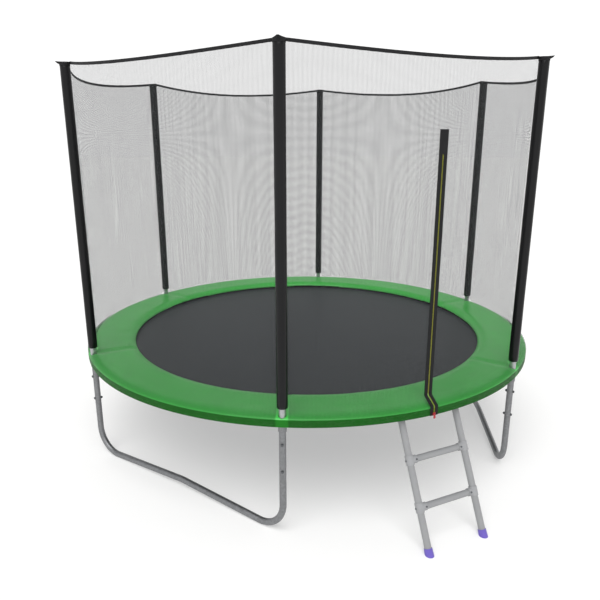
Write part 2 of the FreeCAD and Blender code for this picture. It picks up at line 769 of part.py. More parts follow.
def side_screw_ways(side):
    """Screw holes through the outer side of each tee and its rail."""
    ways = []
    for height in rung_heights():
        ways.append(rod(ladder_screw_r + screw_hole_gap,
                        along_ladder(side * rail_half_spacing, height),
                        along_ladder(side * (rail_half_spacing + tee_r + 5), height)))
    return ways


def front_screw_x():
    """How far from the ladder's middle the screw through a tee's stub stands."""
    return rail_half_spacing - tee_r - tee_stub_length / 2


def front_screw_ways():
    """Screw holes through the front of each stub and the rung inside it."""
    ways = []
    for side in (-1, 1):
        for height in rung_heights():
            ways.append(rod(ladder_screw_r + screw_hole_gap,
                            along_ladder(side * front_screw_x(), height),
                            along_ladder(side * front_screw_x(), height, tee_stub_r + 5)))
    return ways


def ladder_rail(side):
    """One of the ladder's two side tubes."""
    x = side * rail_half_spacing
    top = along_ladder(x, ladder_length - ladder_start)
    tube = pipe(ladder_tube_r, ladder_tube_r - ladder_wall, along_ladder(x, foot_floor), top)
    return tube.cut(Part.makeCompound(side_screw_ways(side)))


def ladder_rungs():
    """The two round rungs."""
    reach = rail_half_spacing - tee_r - tee_gap
    rungs = []
    for height in rung_heights():
        rung = pipe(rung_r, rung_r - ladder_wall, along_ladder(-reach, height),
                    along_ladder(reach, height))
        rungs.append(rung.cut(Part.makeCompound(front_screw_ways())))
    return rungs


def ladder_tees():
    """The four collars that hold the rungs to the rails."""
    tees = []
    for side in (-1, 1):
        x = side * rail_half_spacing
        stub_x = side * (rail_half_spacing - tee_r - tee_stub_length)
        for height in rung_heights():
            low, high = height - tee_half_length, height + tee_half_length
            collar = rod(tee_r, along_ladder(x, low), along_ladder(x, high))
            stub = rod(tee_stub_r, along_ladder(x, height), along_ladder(stub_x, height))
            tee = joined(collar, stub)
            ways = [rod(ladder_tube_r + tee_gap, along_ladder(x, low - 5),
                        along_ladder(x, high + 5)),
                    rod(rung_r + tee_gap, along_ladder(x, height), along_ladder(0, height))]
            ways += side_screw_ways(side) + front_screw_ways()
            tees.append(tee.cut(Part.makeCompound(ways)))
    return tees


def ladder_screws():
    """A screw in the front and one in the outer side of each tee."""
    screws = []
    depth = ladder_screw_length
    for side in (-1, 1):
        for height in rung_heights():
            x = side * front_screw_x()
            seat = along_ladder(x, height, tee_stub_r)
            head = along_ladder(x, height, tee_stub_r + ladder_screw_head)
            tip = along_ladder(x, height, tee_stub_r - depth)
            screws.append(joined(rod(ladder_screw_head_r, seat, head),
                                 rod(ladder_screw_r, tip, head)))
            reach = rail_half_spacing + tee_r
            seat = along_ladder(side * reach, height)
            head = along_ladder(side * (reach + ladder_screw_head), height)
            tip = along_ladder(side * (reach - depth), height)
            screws.append(joined(rod(ladder_screw_head_r, seat, head),
                                 rod(ladder_screw_r, tip, head)))
    return screws


def ladder_hook(side):
    """A flat steel hook over the ring, with a tongue inside the top of its rail."""
    inner = tube_r + hook_inner_gap
    outer = inner + hook_band
    x_low = side * rail_half_spacing - hook_thickness / 2
    across = Vector(hook_thickness, 0, 0)
    centre = Vector(x_low, hinge_y, ring_z)

    def at(radius, turn):
        return centre + Vector(0, -radius * math.cos(turn), radius * math.sin(turn))

    start = lean - math.pi / 2
    end = math.pi + math.radians(hook_tip_angle)
    middle = (start + end) / 2
    sides = [Part.Arc(at(inner, start), at(inner, middle), at(inner, end)),
             Part.LineSegment(at(inner, end), at(outer, end)),
             Part.Arc(at(outer, end), at(outer, middle), at(outer, start)),
             Part.LineSegment(at(outer, start), at(inner, start))]
    claw = Part.Face(Part.Wire([piece.toShape() for piece in sides])).extrude(across)
    bore = ladder_tube_r - ladder_wall
    half = math.sqrt(bore ** 2 - (hook_thickness / 2) ** 2) - hook_tongue_gap
    top = ladder_length - inner
    low = ladder_length - ladder_start - hook_tongue
    corners = [along_ladder(x_low, top, half), along_ladder(x_low, low, half),
               along_ladder(x_low, low, -half), along_ladder(x_low, top, -half)]
    tongue = Part.Face(Part.makePolygon(corners + corners[:1])).extrude(across)
    tongue = tongue.cut(Part.makeCylinder(inner, hook_thickness, centre, Vector(1, 0, 0)))
    return joined(claw, tongue)


def ladder_foot(side):
    """A short plastic foot, slightly flared, with a flat sole on the ground."""
    x = side * rail_half_spacing
    outer = ladder_tube_r + foot_wall
    run = foot_length + 2 * outer
    low = along_ladder(x, foot_length - run)
    axis = along_ladder(x, foot_length) - low
    flare = Part.makeCone(outer + foot_flare * run / foot_length, outer, run, low, axis)
    flare = flare.cut(rod(ladder_tube_r + tee_gap, along_ladder(x, foot_floor),
                          along_ladder(x, foot_length + 5)))
    below = block(x - 200, x + 200, low.y - 200, low.y + 200, -300, 0)
    return flare.cut(below)


# ---------------------------------------------------------------- writing the nodes
def around(shapes, angles):
    """Copies of one or several shapes at each angle."""
    several = shapes if isinstance(shapes, list) else [shapes]
    return [turned(shape, angle) for angle in angles for shape in several]


def raised(shapes, heights):
    """Copies of one or several shapes at each height."""
    several = shapes if isinstance(shapes, list) else [shapes]
    copies = []
    for height in heights:
        for shape in several:
            copy = shape.copy()
            copy.translate(Vector(0, 0, height))
            copies.append(copy)
    return copies


def all_nodes():
    """Every node's name and shape."""
    nodes = {}
    bolt_heights = (upper_bolt_z, lower_bolt_z)
    one_per_pole = {"frame_rail": frame_rail(), "leg_upright": leg_upright(),
                    "pole_lower": pole_lower(), "pole_upper": pole_upper(),
                    "pole_foam": pole_foam()}
    for name, shape in one_per_pole.items():
        for number, angle in enumerate(pole_angles, 1):
            nodes[f"{name}_{number}"] = turned(shape, angle)
    base = leg_base()
    for number in range(1, pole_count // 2 + 1):
        nodes[f"leg_base_{number}"] = turned(base, (2 * number - 1) * step_angle)
    screw_angles = [angle - degrees_along(rail_screw_back) for angle in pole_angles]
    spacing = step_angle / springs_per_rail
    spring_angles = [spacing * (i + 0.5) for i in range(pole_count * springs_per_rail)]
    groups = {
        "rail_screws": around(rail_screw(), screw_angles),
        "leg_bolts": around(raised(leg_bolt(), bolt_heights), pole_angles),
        "leg_nuts_washers": around(raised(leg_nut(), bolt_heights), pole_angles),
        "pole_caps": around(pole_cap(), pole_angles),
        "springs": around(spring(), spring_angles),
        "v_rings": around(v_ring(), spring_angles),
        "webbing_loops": around(webbing_loop(), spring_angles),
        "net_panels": around(net_panel(), [step_angle * i for i in range(1, pole_count)]),
        "ladder_rungs": around(ladder_rungs(), [ladder_angle]),
        "ladder_tees": around(ladder_tees(), [ladder_angle]),
        "ladder_screws": around(ladder_screws(), [ladder_angle]),
        "ladder_hooks": around([ladder_hook(-1), ladder_hook(1)], [ladder_angle]),
        "ladder_feet": around([ladder_foot(-1), ladder_foot(1)], [ladder_angle]),
    }
    for name, shapes in groups.items():
        nodes[name] = Part.makeCompound(shapes)
    nodes["jumping_mat"] = jumping_mat()
    nodes["mat_hem"] = mat_hem()
    nodes["safety_pad"] = safety_pad()
    nodes["door_panel"] = door_panel()
    nodes["net_skirt"] = net_skirt()
    nodes["top_band"] = top_band()
    nodes["zip_tapes"] = zip_tapes()
    nodes["zip_teeth"] = zip_teeth()
    nodes["zip_slider"] = zip_slider()
    nodes["zip_pull"] = zip_pull()
    nodes["ladder_rail_left"] = turned(ladder_rail(-1), ladder_angle)
    nodes["ladder_rail_right"] = turned(ladder_rail(1), ladder_angle)
    return nodes


os.makedirs("parts", exist_ok=True)
for name, shape in all_nodes().items():
    shape.exportStep(f"parts/{name}.step")
    limits = shape.optimalBoundingBox(True, False)
    print(f"{name}: {len(shape.Solids)} solids, {shape.Volume / 1000:.1f} cm3, valid "
          f"{shape.isValid()}, Z {limits.ZMin:.1f} to {limits.ZMax:.1f}")
print(f"hinge line at Y {hinge_y:.2f}, Z {ring_z:.2f}, lean {math.degrees(lean):.2f} degrees")
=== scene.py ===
# %% [markdown]
# # A backyard trampoline
#
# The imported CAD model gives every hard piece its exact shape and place. This lesson dresses it: the
# tubes and fasteners keep their meshes and get real finishes, and each soft piece (mat, pad, foam
# sleeves, net, straps and zip tape) is modelled again as the cloth or foam it is.

# %% Load the frame
import math

import bmesh
import bpy
from mathutils import Matrix, Vector, noise


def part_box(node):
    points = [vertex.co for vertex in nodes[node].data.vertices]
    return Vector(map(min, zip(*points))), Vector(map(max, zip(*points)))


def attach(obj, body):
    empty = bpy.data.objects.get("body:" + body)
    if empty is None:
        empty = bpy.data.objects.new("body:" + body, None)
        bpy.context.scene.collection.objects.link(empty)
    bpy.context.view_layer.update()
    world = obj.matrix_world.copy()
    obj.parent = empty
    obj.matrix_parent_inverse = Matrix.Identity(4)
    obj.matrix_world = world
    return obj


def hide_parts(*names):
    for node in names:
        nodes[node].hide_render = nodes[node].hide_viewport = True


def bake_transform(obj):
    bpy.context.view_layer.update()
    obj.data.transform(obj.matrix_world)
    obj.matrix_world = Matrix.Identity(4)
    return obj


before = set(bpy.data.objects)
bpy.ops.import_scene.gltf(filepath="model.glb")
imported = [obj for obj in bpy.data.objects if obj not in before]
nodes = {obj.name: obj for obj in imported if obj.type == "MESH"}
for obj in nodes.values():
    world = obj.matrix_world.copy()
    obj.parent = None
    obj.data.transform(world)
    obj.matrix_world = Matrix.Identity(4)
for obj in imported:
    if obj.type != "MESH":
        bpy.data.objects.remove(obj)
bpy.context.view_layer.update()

mm = 0.001

# %% [markdown]
# The camera comes first, so that every later choice is judged from the same place. It stands a
# little above head height and looks down at the mat, past the pole nearest to it.

# %% Camera
look_down, look_round = 15.57, -24.89
camera_data = bpy.data.cameras.new("studio_camera")
camera_data.lens = 35.3
camera = bpy.data.objects.new("studio_camera", camera_data)
camera.location = (-1.846, -3.866, 2.081)
camera.rotation_euler = (math.radians(90 - look_down), 0, math.radians(look_round))
bpy.context.scene.collection.objects.link(camera)
bpy.context.scene.camera = camera
print("the camera looks", look_down, "degrees down")

# %% [markdown]
# ## Small helpers
#
# A painter names a colour in sRGB hex, and a shader wants linear numbers. One function turns every
# colour in this lesson, so that no finish is a shade too pale.

# %% Colours
def hex_colour(text):
    """Linear RGBA of an sRGB hex colour."""
    channels = [int(text[i:i + 2], 16) / 255 for i in (1, 3, 5)]
    linear = [c / 12.92 if c <= 0.04045 else ((c + 0.055) / 1.055) ** 2.4 for c in channels]
    return (*linear, 1.0)


print("a mid grey is", hex_colour("#808080")[:3])

# %% [markdown]
# A material is a small network of nodes. Adding one takes a line for the node, one for each setting
# and one for each link, so a helper does all three. Another starts a finish, whose fixed values
# stand on the shader's own sockets.

# %% Nodes and finishes
def add_node(tree, kind, inputs=None, **settings):
    """Adds a shader node. An input is given as a value or as another node's output."""
    node = tree.nodes.new("ShaderNode" + kind)
    for name, value in settings.items():
        setattr(node, name, value)
    for name, value in (inputs or {}).items():
        if isinstance(value, bpy.types.NodeSocket):
            tree.links.new(value, node.inputs[name])
        else:
            node.inputs[name].default_value = value
    return node


def new_finish(name, colour, roughness, metallic=0.0, **sockets):
    """A material with one Principled shader, whose fixed values stand on its own sockets."""
    material = bpy.data.materials.new(name)
    material.use_nodes = True
    shader = material.node_tree.nodes["Principled BSDF"]
    values = {"Base Color": hex_colour(colour), "Roughness": roughness, "Metallic": metallic}
    for socket, value in {**values, **sockets}.items():
        shader.inputs[socket].default_value = value
    return material, material.node_tree, shader


print("node helpers are ready")

# %% [markdown]
# A finish varies in two ways. A pattern can move its colour between a dark and a light shade, and
# it can raise the surface. The patterns read Object coordinates, which are metres in the
# trampoline's own frame. Only the net differs, because its threads follow its cloth.

# %% Tint and emboss
def tint(tree, shader, factor, dark, light):
    """Colours a shader between two hex colours by a pattern."""
    ramp = add_node(tree, "ValToRGB", {"Fac": factor})
    ramp.color_ramp.elements[0].color = hex_colour(dark)
    ramp.color_ramp.elements[1].color = hex_colour(light)
    tree.links.new(ramp.outputs["Color"], shader.inputs["Base Color"])


def emboss(tree, shader, height, depth, strength=1.0):
    """Raises the surface by a pattern, up to a depth in metres."""
    bump = add_node(tree, "Bump", {"Height": height, "Distance": depth, "Strength": strength})
    tree.links.new(bump.outputs["Normal"], shader.inputs["Normal"])


def band_scale(width):
    """The Wave Texture's Scale for bands of one width in metres: it repeats every 0.314 / Scale."""
    return 0.314 / width


print("bands 1 mm wide need a scale of", band_scale(1 * mm))

# %% [markdown]
# ## Metals
#
# The legs, ring and poles are rolled steel tube, hot-dip galvanised. Zinc freezes in crystals about
# a centimetre wide, called spangle, which differ a little in brightness and gloss. A Voronoi
# pattern gives each crystal one value, which is why it suits spangle better than noise.

# %% Galvanised steel
def galvanised(name, dark, light, roughness):
    """Hot-dip galvanised steel: metal with spangle 11 mm wide and a faint rolling grain."""
    material, tree, shader = new_finish(name, light, roughness, metallic=0.9)
    place = add_node(tree, "TexCoord").outputs["Object"]
    crystal = 11 * mm
    spangle = add_node(tree, "TexVoronoi", {"Vector": place, "Scale": 1 / crystal})
    value = add_node(tree, "SeparateColor", {"Color": spangle.outputs["Color"]}).outputs["Red"]
    tint(tree, shader, value, dark, light)
    gloss = add_node(tree, "MapRange", {"Value": value, "To Min": roughness - 0.06,
                                        "To Max": roughness + 0.07})
    tree.links.new(gloss.outputs["Result"], shader.inputs["Roughness"])
    grain = add_node(tree, "TexNoise", {"Vector": place, "Scale": 1 / (3 * mm), "Detail": 4.0})
    emboss(tree, shader, grain.outputs["Fac"], 0.08 * mm, 0.5)
    return material


leg_finish = galvanised("galvanised_leg_tube", "#7b7c7e", "#8c8d8f", 0.48)
pole_finish = galvanised("galvanised_pole_tube", "#a5a6a8", "#b6b7b9", 0.42)
print("galvanised finishes:", leg_finish.name, pole_finish.name)

# %% [markdown]
# The ladder is the same tube with a light grey powder coat. Powder melts into a skin with a soft
# ripple, the orange peel, about 2 mm across. It is a plastic over metal, so it is not metallic and
# has a clear gloss of its own.

# %% Powder coat
def powder_coated(name, colour, roughness):
    """Powder coat: a dielectric skin with orange peel 2 mm across."""
    material, tree, shader = new_finish(name, colour, roughness, **{"Coat Weight": 0.15,
                                                                    "Coat Roughness": 0.3})
    place = add_node(tree, "TexCoord").outputs["Object"]
    cloud = add_node(tree, "TexNoise", {"Vector": place, "Scale": 1 / (120 * mm), "Detail": 3.0})
    red, green, blue = (int(colour[i:i + 2], 16) for i in (1, 3, 5))
    darker = "#%02x%02x%02x" % (red - 10, green - 10, blue - 9)
    tint(tree, shader, cloud.outputs["Fac"], darker, colour)
    peel = add_node(tree, "TexNoise", {"Vector": place, "Scale": 1 / (2 * mm), "Detail": 1.0})
    emboss(tree, shader, peel.outputs["Fac"], 0.06 * mm, 0.6)
    return material


ladder_finish = powder_coated("powder_coated_ladder_tube", "#919293", 0.4)
zip_metal_finish = powder_coated("red_lacquered_zip_slider", "#a8202c", 0.3)
print("coated finishes:", ladder_finish.name, zip_metal_finish.name)

# %% [markdown]
# Bolts, screws, hooks and springs are steel with a thin zinc plate. The plate is too thin to hide
# the metal, so they are plain metals, and a slow noise makes their gloss a little cloudy.

# %% Zinc plate
def plated(name, colour, roughness):
    """Zinc-plated steel: bright metal with a slightly cloudy gloss."""
    material, tree, shader = new_finish(name, colour, roughness, metallic=1.0)
    place = add_node(tree, "TexCoord").outputs["Object"]
    cloud = add_node(tree, "TexNoise", {"Vector": place, "Scale": 1 / (6 * mm), "Detail": 3.0})
    gloss = add_node(tree, "MapRange", {"Value": cloud.outputs["Fac"], "To Min": roughness - 0.08,
                                        "To Max": roughness + 0.12})
    tree.links.new(gloss.outputs["Result"], shader.inputs["Roughness"])
    return material


# The fasteners' zinc is set darker than the hooks', as painted shade of the recesses they sit in.
fastener_shade_finish = plated("zinc_plated_fasteners_painted_shade", "#66686b", 0.36)
hook_finish = plated("zinc_plated_hook_plate", "#8f9194", 0.4)
spring_finish = plated("zinc_plated_spring_wire", "#b3b5b8", 0.3)
print("plated finishes:", fastener_shade_finish.name, hook_finish.name, spring_finish.name)

# %% [markdown]
# ## Plastics
#
# The rung collars and pole caps are moulded polypropylene with a fine spark-eroded grain. The
# ladder's feet are the same plastic in violet. Grain about 1 mm wide breaks up the highlight.

# %% Moulded plastic
def moulded(name, dark, light, roughness):
    """Moulded polypropylene with a fine eroded grain."""
    material, tree, shader = new_finish(name, light, roughness, IOR=1.49)
    place = add_node(tree, "TexCoord").outputs["Object"]
    flow = add_node(tree, "TexNoise", {"Vector": place, "Scale": 1 / (40 * mm), "Detail": 2.0})
    tint(tree, shader, flow.outputs["Fac"], dark, light)
    grain = add_node(tree, "TexNoise", {"Vector": place, "Scale": 1 / (1 * mm), "Detail": 2.0})
    emboss(tree, shader, grain.outputs["Fac"], 0.08 * mm, 0.7)
    return material


collar_finish = moulded("moulded_grey_polypropylene", "#8d8e90", "#9b9c9e", 0.45)
foot_finish = moulded("moulded_violet_polypropylene", "#5b4ba6", "#6d5db9", 0.4)
chain_finish = moulded("yellow_nylon_zip_chain", "#8b8d12", "#a9ac20", 0.55)
print("plastics:", collar_finish.name, foot_finish.name, chain_finish.name)

# %% [markdown]
# Every CAD node that keeps its mesh now takes its finish. A node can come with several material
# places, so all of them are filled.

# %% Dress the CAD nodes
def dress(names, finish):
    """Puts one finish on CAD nodes that keep their shape."""
    for name in names:
        slots = nodes[name].data.materials
        slots.clear()
        slots.append(finish)


numbers = range(1, 7)
dress([f"frame_rail_{i}" for i in numbers] + [f"leg_upright_{i}" for i in numbers], leg_finish)
dress([f"leg_base_{i}" for i in (1, 2, 3)], leg_finish)
dress([f"pole_{half}_{i}" for half in ("lower", "upper") for i in numbers], pole_finish)
dress(["ladder_rail_left", "ladder_rail_right", "ladder_rungs"], ladder_finish)
dress(["leg_bolts", "leg_nuts_washers", "rail_screws", "ladder_screws"], fastener_shade_finish)
dress(["ladder_tees", "pole_caps"], collar_finish)
dress(["ladder_feet"], foot_finish)
dress(["ladder_hooks"], hook_finish)
dress(["zip_slider", "zip_pull"], zip_metal_finish)
print("dressed", sum(1 for o in nodes.values() if o.data.materials), "CAD nodes")

# %% [markdown]
# ## Cloth finishes
#
# Cloth is drawn by its threads. The mat is woven from flat polypropylene tape, so two crossed wave
# patterns make its basket weave. The real tape is 1.5 mm wide, which is too fine to show from here,
# so it is drawn 9 mm wide.

# %% Woven mat and webbing
def woven(name, dark, light, tape, roughness, depth, sheen=0.05):
    """A plain weave: one set of tapes along X and one along Y, each over and under the other."""
    material, tree, shader = new_finish(name, light, roughness,
                                        **{"Specular IOR Level": 0.3, "Sheen Weight": sheen,
                                           "Sheen Roughness": 0.5})
    place = add_node(tree, "TexCoord").outputs["Object"]
    waves = []
    for direction in ("X", "Y"):
        wave = add_node(tree, "TexWave", {"Vector": place, "Scale": band_scale(tape),
                                          "Distortion": 0.4, "Detail": 1.0, "Detail Scale": 8.0},
                        bands_direction=direction)
        waves.append(wave.outputs["Fac"])
    weave = add_node(tree, "Math", {0: waves[0], 1: waves[1]}, operation="MULTIPLY").outputs[0]
    wear = add_node(tree, "TexNoise", {"Vector": place, "Scale": 1 / (26 * mm), "Detail": 5.0,
                                       "Roughness": 0.7}).outputs["Fac"]
    blend = add_node(tree, "Math", {0: weave, 1: 0.5, 2: wear}, operation="MULTIPLY_ADD")
    tint(tree, shader, blend.outputs[0], dark, light)
    emboss(tree, shader, weave, depth)
    return material


mat_finish = woven("woven_polypropylene_mat", "#0c0e10", "#32373c", 9 * mm, 0.5, 0.5 * mm)
webbing_finish = woven("woven_polyester_webbing", "#0d0d0e", "#1c1c1e", 2.5 * mm, 0.75, 0.4 * mm,
                       sheen=0.0)
zip_tape_finish = woven("woven_zip_tape", "#0c0c0d", "#19191b", 2 * mm, 0.8, 0.3 * mm, sheen=0.0)
print("woven finishes:", mat_finish.name, webbing_finish.name, zip_tape_finish.name)

# %% [markdown]
# The pad is wrapped in PVC-coated polyester. The coating is smooth and slightly glossy, the scrim
# under it shows as a very fine grid, and the sheet has shallow creases where the foam moves in it,
# whose hollows are painted a little darker as shade. The flap is one sheet with no white foam behind
# it, and its darker green is painted shade of its upright side. The underside is a black backing of
# the same kind, and the inner edge is painted the same black as shade where the pad meets the mat.

# %% Coated cloth
def coated_cloth(name, dark, light, roughness, crease, stretch=(1, 1, 1), gloss=0.4):
    """PVC-coated cloth: soft gloss, shallow creases whose hollows are painted darker as shade, and
    the grid of the scrim beneath.
    """
    material, tree, shader = new_finish(name, light, roughness, **{"Specular IOR Level": gloss})
    place = add_node(tree, "TexCoord").outputs["Object"]
    along = add_node(tree, "Mapping", {"Vector": place, "Scale": stretch}).outputs["Vector"]
    folds_and_crease_shade = add_node(tree, "TexNoise", {"Vector": along, "Scale": 1 / crease, "Detail": 4.0,
                                        "Roughness": 0.55, "Distortion": 0.6}).outputs["Fac"]
    dust = add_node(tree, "TexNoise", {"Vector": place, "Scale": 1 / (350 * mm),
                                       "Detail": 3.0}).outputs["Fac"]
    # The colour darkens where the folds sink, which is painted shade in the creases; the slow noise
    # is uneven tone of the cloth.
    blend = add_node(tree, "Math", {0: folds_and_crease_shade, 1: 0.35, 2: dust}, operation="MULTIPLY_ADD")
    tint(tree, shader, blend.outputs[0], dark, light)
    scrim = add_node(tree, "TexWave", {"Vector": place, "Scale": band_scale(1.5 * mm)},
                     bands_direction="DIAGONAL").outputs["Fac"]
    height = add_node(tree, "Math", {0: scrim, 1: 0.04, 2: folds_and_crease_shade}, operation="MULTIPLY_ADD")
    emboss(tree, shader, height.outputs[0], 2.2 * mm, 0.5)
    return material


pad_finish = coated_cloth("green_pvc_coated_pad_cover", "#31a63b", "#43bc4d", 0.34, 90 * mm,
                          gloss=0.5)
# The flap's darker green is painted shade of its upright side.
flap_shade_finish = coated_cloth("green_pvc_flap_painted_shade", "#146114", "#1b711b", 0.45, 60 * mm,
                           gloss=0.15)
# The backing's black is real underneath, and painted shade on the pad's inner edge.
black_backing_and_edge_shade_finish = coated_cloth("black_pvc_backing_and_painted_edge_shade", "#080808", "#121213", 0.6, 60 * mm,
                              gloss=0.2)
sleeve_finish = coated_cloth("black_pvc_foam_sleeve", "#070708", "#101012", 0.28, 45 * mm,
                             stretch=(1, 1, 0.35), gloss=0.24)
print("coated cloths:", pad_finish.name, flap_shade_finish.name, sleeve_finish.name)

# %% [markdown]
# The net is a knitted polyethylene mesh. Modelling each thread would take millions of faces, so the
# thread grid is drawn into the material's alpha, from the sheet's own UV map, which is laid out in
# metres along the cloth. The real holes are about 3 mm wide. They are drawn 4 mm wide, so that the
# grid shows close up and melts into a grey veil from afar.

# %% Net finish and its cloth map
mesh_pitch = 4 * mm
flap_start, flap_end = -58 * mm, -74 * mm

net_finish, net_tree, net_shader = new_finish("knitted_polyethylene_net", "#2c2e2f", 0.65,
                                              **{"Specular IOR Level": 0.3})
cloth = add_node(net_tree, "TexCoord").outputs["UV"]
across_cloth = add_node(net_tree, "SeparateXYZ", {"Vector": cloth})
tight_and_shaded = add_node(net_tree, "MapRange", {"Value": across_cloth.outputs["Y"],
                                        "From Min": flap_start, "From Max": flap_end}).outputs[0]
print("net mesh is drawn", mesh_pitch / mm, "mm wide")

# %% [markdown]
# The knit is slacker in some upright streaks than in others, and where the near and far walls
# cross, those streaks make the soft bands that such nets show. The skirt's map runs below zero, and
# there the net is drawn tight over the pad's flap, which opens the mesh a little, and its threads
# are painted darker there, as painted shade.

# %% Thread width
thread_share, streak_share, tight_share = 0.2, 0.06, 0.04
streaks = add_node(net_tree, "TexWave", {"Vector": cloth, "Scale": band_scale(22 * mm),
                                         "Distortion": 3.0, "Detail": 2.0, "Detail Scale": 0.4},
                   bands_direction="X")
knit = add_node(net_tree, "MapRange", {"Value": streaks.outputs["Fac"],
                                       "To Min": thread_share * (1 - streak_share),
                                       "To Max": thread_share * (1 + streak_share)})
thread = add_node(net_tree, "Math", {0: tight_and_shaded, 1: -tight_share, 2: knit.outputs["Result"]},
                  operation="MULTIPLY_ADD")
print("threads fill", 2 * thread_share, "of each cell's width")

# %% [markdown]
# A ping-pong node turns the way across a cell into a distance from the nearest thread. Where that
# is less than the thread's width the cloth is solid, and the edge between is soft, which keeps the
# grid calm when it is far away.

# %% Thread grid
gaps = []
for direction in ("X", "Y"):
    cell = add_node(net_tree, "Math", {0: across_cloth.outputs[direction], 1: mesh_pitch},
                    operation="DIVIDE")
    away = add_node(net_tree, "Math", {0: cell.outputs[0], 1: 0.5}, operation="PINGPONG")
    gap = add_node(net_tree, "MapRange", {"Value": away.outputs[0], "From Max": thread.outputs[0],
                                          "To Min": 0.1, "To Max": 1.0})
    gaps.append(gap.outputs["Result"])
open_share = add_node(net_tree, "Math", {0: gaps[0], 1: gaps[1]}, operation="MULTIPLY")
alpha = add_node(net_tree, "Math", {0: 1.0, 1: open_share.outputs[0]}, operation="SUBTRACT")
net_tree.links.new(alpha.outputs[0], net_shader.inputs["Alpha"])
# Down the flap the threads are painted darker, as painted shade.
tint(net_tree, net_shader, tight_and_shaded, "#2c2e2f", "#0a0b0a")
print("the net finish has", len(net_tree.nodes), "nodes")

# %% [markdown]
# ## Making pieces
#
# A piece starts as a bmesh and ends as an object that rides on a CAD body, with its finish, and the
# CAD node that it stands for is hidden. One helper does that for every piece.

# %% A piece from a bmesh
def add_piece(name, bm, finish, body="frame", stands_for=(), crease=35):
    """Makes an object of a bmesh. With no body, the piece is left without one."""
    mesh = bpy.data.meshes.new(name)
    bm.to_mesh(mesh)
    bm.free()
    mesh.materials.append(finish)
    mesh.polygons.foreach_set("use_smooth", [True] * len(mesh.polygons))
    mesh.set_sharp_from_angle(angle=math.radians(crease))
    piece = bpy.data.objects.new(name, mesh)
    bpy.context.scene.collection.objects.link(piece)
    if stands_for:
        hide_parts(*stands_for)
    if body:
        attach(piece, body)
    return piece


print("pieces go into", bpy.context.scene.collection.name)

# %% [markdown]
# Nearly everything on a round trampoline is a line spun about its middle, so one helper spins a
# line of radius and height points from one angle to another. Angles run from the door's side, -Y,
# towards +X.

# %% Spinning a line
def spun(profile, start, end, steps, closed=False, bm=None):
    """A line of (radius, height) points spun about the middle, between two angles in degrees."""
    bm = bm or bmesh.new()
    turn = Matrix.Rotation(math.radians(start), 3, "Z")
    corners = [bm.verts.new(turn @ Vector((0, -radius, height))) for radius, height in profile]
    pairs = list(zip(corners, corners[1:])) + ([(corners[-1], corners[0])] if closed else [])
    line = [bm.edges.new(pair) for pair in pairs]
    whole = abs(end - start) > 359.9
    bmesh.ops.spin(bm, geom=corners + line, cent=(0, 0, 0), axis=(0, 0, 1),
                   angle=math.radians(end - start), steps=steps, use_merge=whole)
    return bm


def between(first, last, count):
    """Evenly spaced (radius, height) points from one to another, both included."""
    return [tuple(a + (b - a) * i / count for a, b in zip(first, last)) for i in range(count + 1)]


def angle_of(point):
    """A point's angle in degrees, from -Y towards +X."""
    return math.degrees(math.atan2(point.x, -point.y))


def outward(bm):
    """Points every face outwards."""
    bmesh.ops.remove_doubles(bm, verts=bm.verts, dist=0.01 * mm)
    bmesh.ops.recalc_face_normals(bm, faces=bm.faces)


print("a line in three parts:", between((0.0, 0.0), (0.3, 0.6), 3))

# %% [markdown]
# Rings and hooks are bent wire. A circle stands across the wire at each point of its path, and
# each circle is bridged to the one before. Small pieces that go all the way round are made once and
# then turned to each angle.

# %% Bent wire and repeats
def bent_wire(bm, path, radius, sides):
    """A round wire along a line of points, with closed ends."""
    loop = None
    for i, point in enumerate(path):
        ahead = path[min(i + 1, len(path) - 1)] - path[max(i - 1, 0)]
        stand = Matrix.Translation(point) @ ahead.to_track_quat("Z", "Y").to_matrix().to_4x4()
        ends = i in (0, len(path) - 1)
        circle = bmesh.ops.create_circle(bm, segments=sides, radius=radius, matrix=stand,
                                         cap_ends=ends)["verts"]
        edges = list({e for v in circle for e in v.link_edges})
        if loop:
            bmesh.ops.bridge_loops(bm, edges=loop + edges)
        loop = edges


def repeated(mesh, angles):
    """A bmesh with one copy of a mesh turned to each angle."""
    bm = bmesh.new()
    for angle in angles:
        copy = mesh.copy()
        copy.transform(Matrix.Rotation(math.radians(angle), 4, "Z"))
        bm.from_mesh(copy)
        bpy.data.meshes.remove(copy)
    return bm


def kept_mesh(name, bm):
    """Keeps a finished bmesh as a mesh, to be repeated later."""
    mesh = bpy.data.meshes.new(name)
    bm.to_mesh(mesh)
    bm.free()
    return mesh


print("a sixth of a turn is", 360 / 6, "degrees")

# %% [markdown]
# The frame gives every place that the soft pieces need: how far out the mat, its hem, the pad and
# the poles are, and how high the mat lies.

# %% Places from the frame
mat_low, mat_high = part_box("jumping_mat")
hem_low, hem_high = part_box("mat_hem")
pad_low, pad_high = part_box("safety_pad")
mat_r, hem_r, pad_r = mat_high.x, hem_high.x, pad_high.x
mat_z = (mat_low.z + mat_high.z) / 2
pole_angles = [-30 + 60 * i for i in range(6)]
pole_low, pole_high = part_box("pole_foam_3")
pole_r = (pole_low.x + pole_high.x) / 2
print(f"mat {mat_r:.3f} m, hem {hem_r:.3f} m, pad {pad_r:.3f} m, poles at {pole_r:.3f} m")

# %% [markdown]
# ## The jumping mat
#
# When someone lands, the mat sags into a bowl: its middle drops and its edge hardly moves. The mat
# is cut like a cake into twelve slices, and its hem, loops, V-rings and springs are cut with it, one
# piece of each for every slice.

# %% Slices
slices = 12
slice_angle = 360 / slices
ring_r = 1.508


def sag_with_mat(piece):
    """Bakes a piece's place in the world into its mesh."""
    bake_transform(piece)


print("the mat is cut into", slices, "slices of", slice_angle, "degrees")

# %% [markdown]
# Each slice is a line from the middle to the hem, spun through its angle and then thickened to the
# cloth's own thickness. The faces are pointed up before that, so that the wall grows downwards.

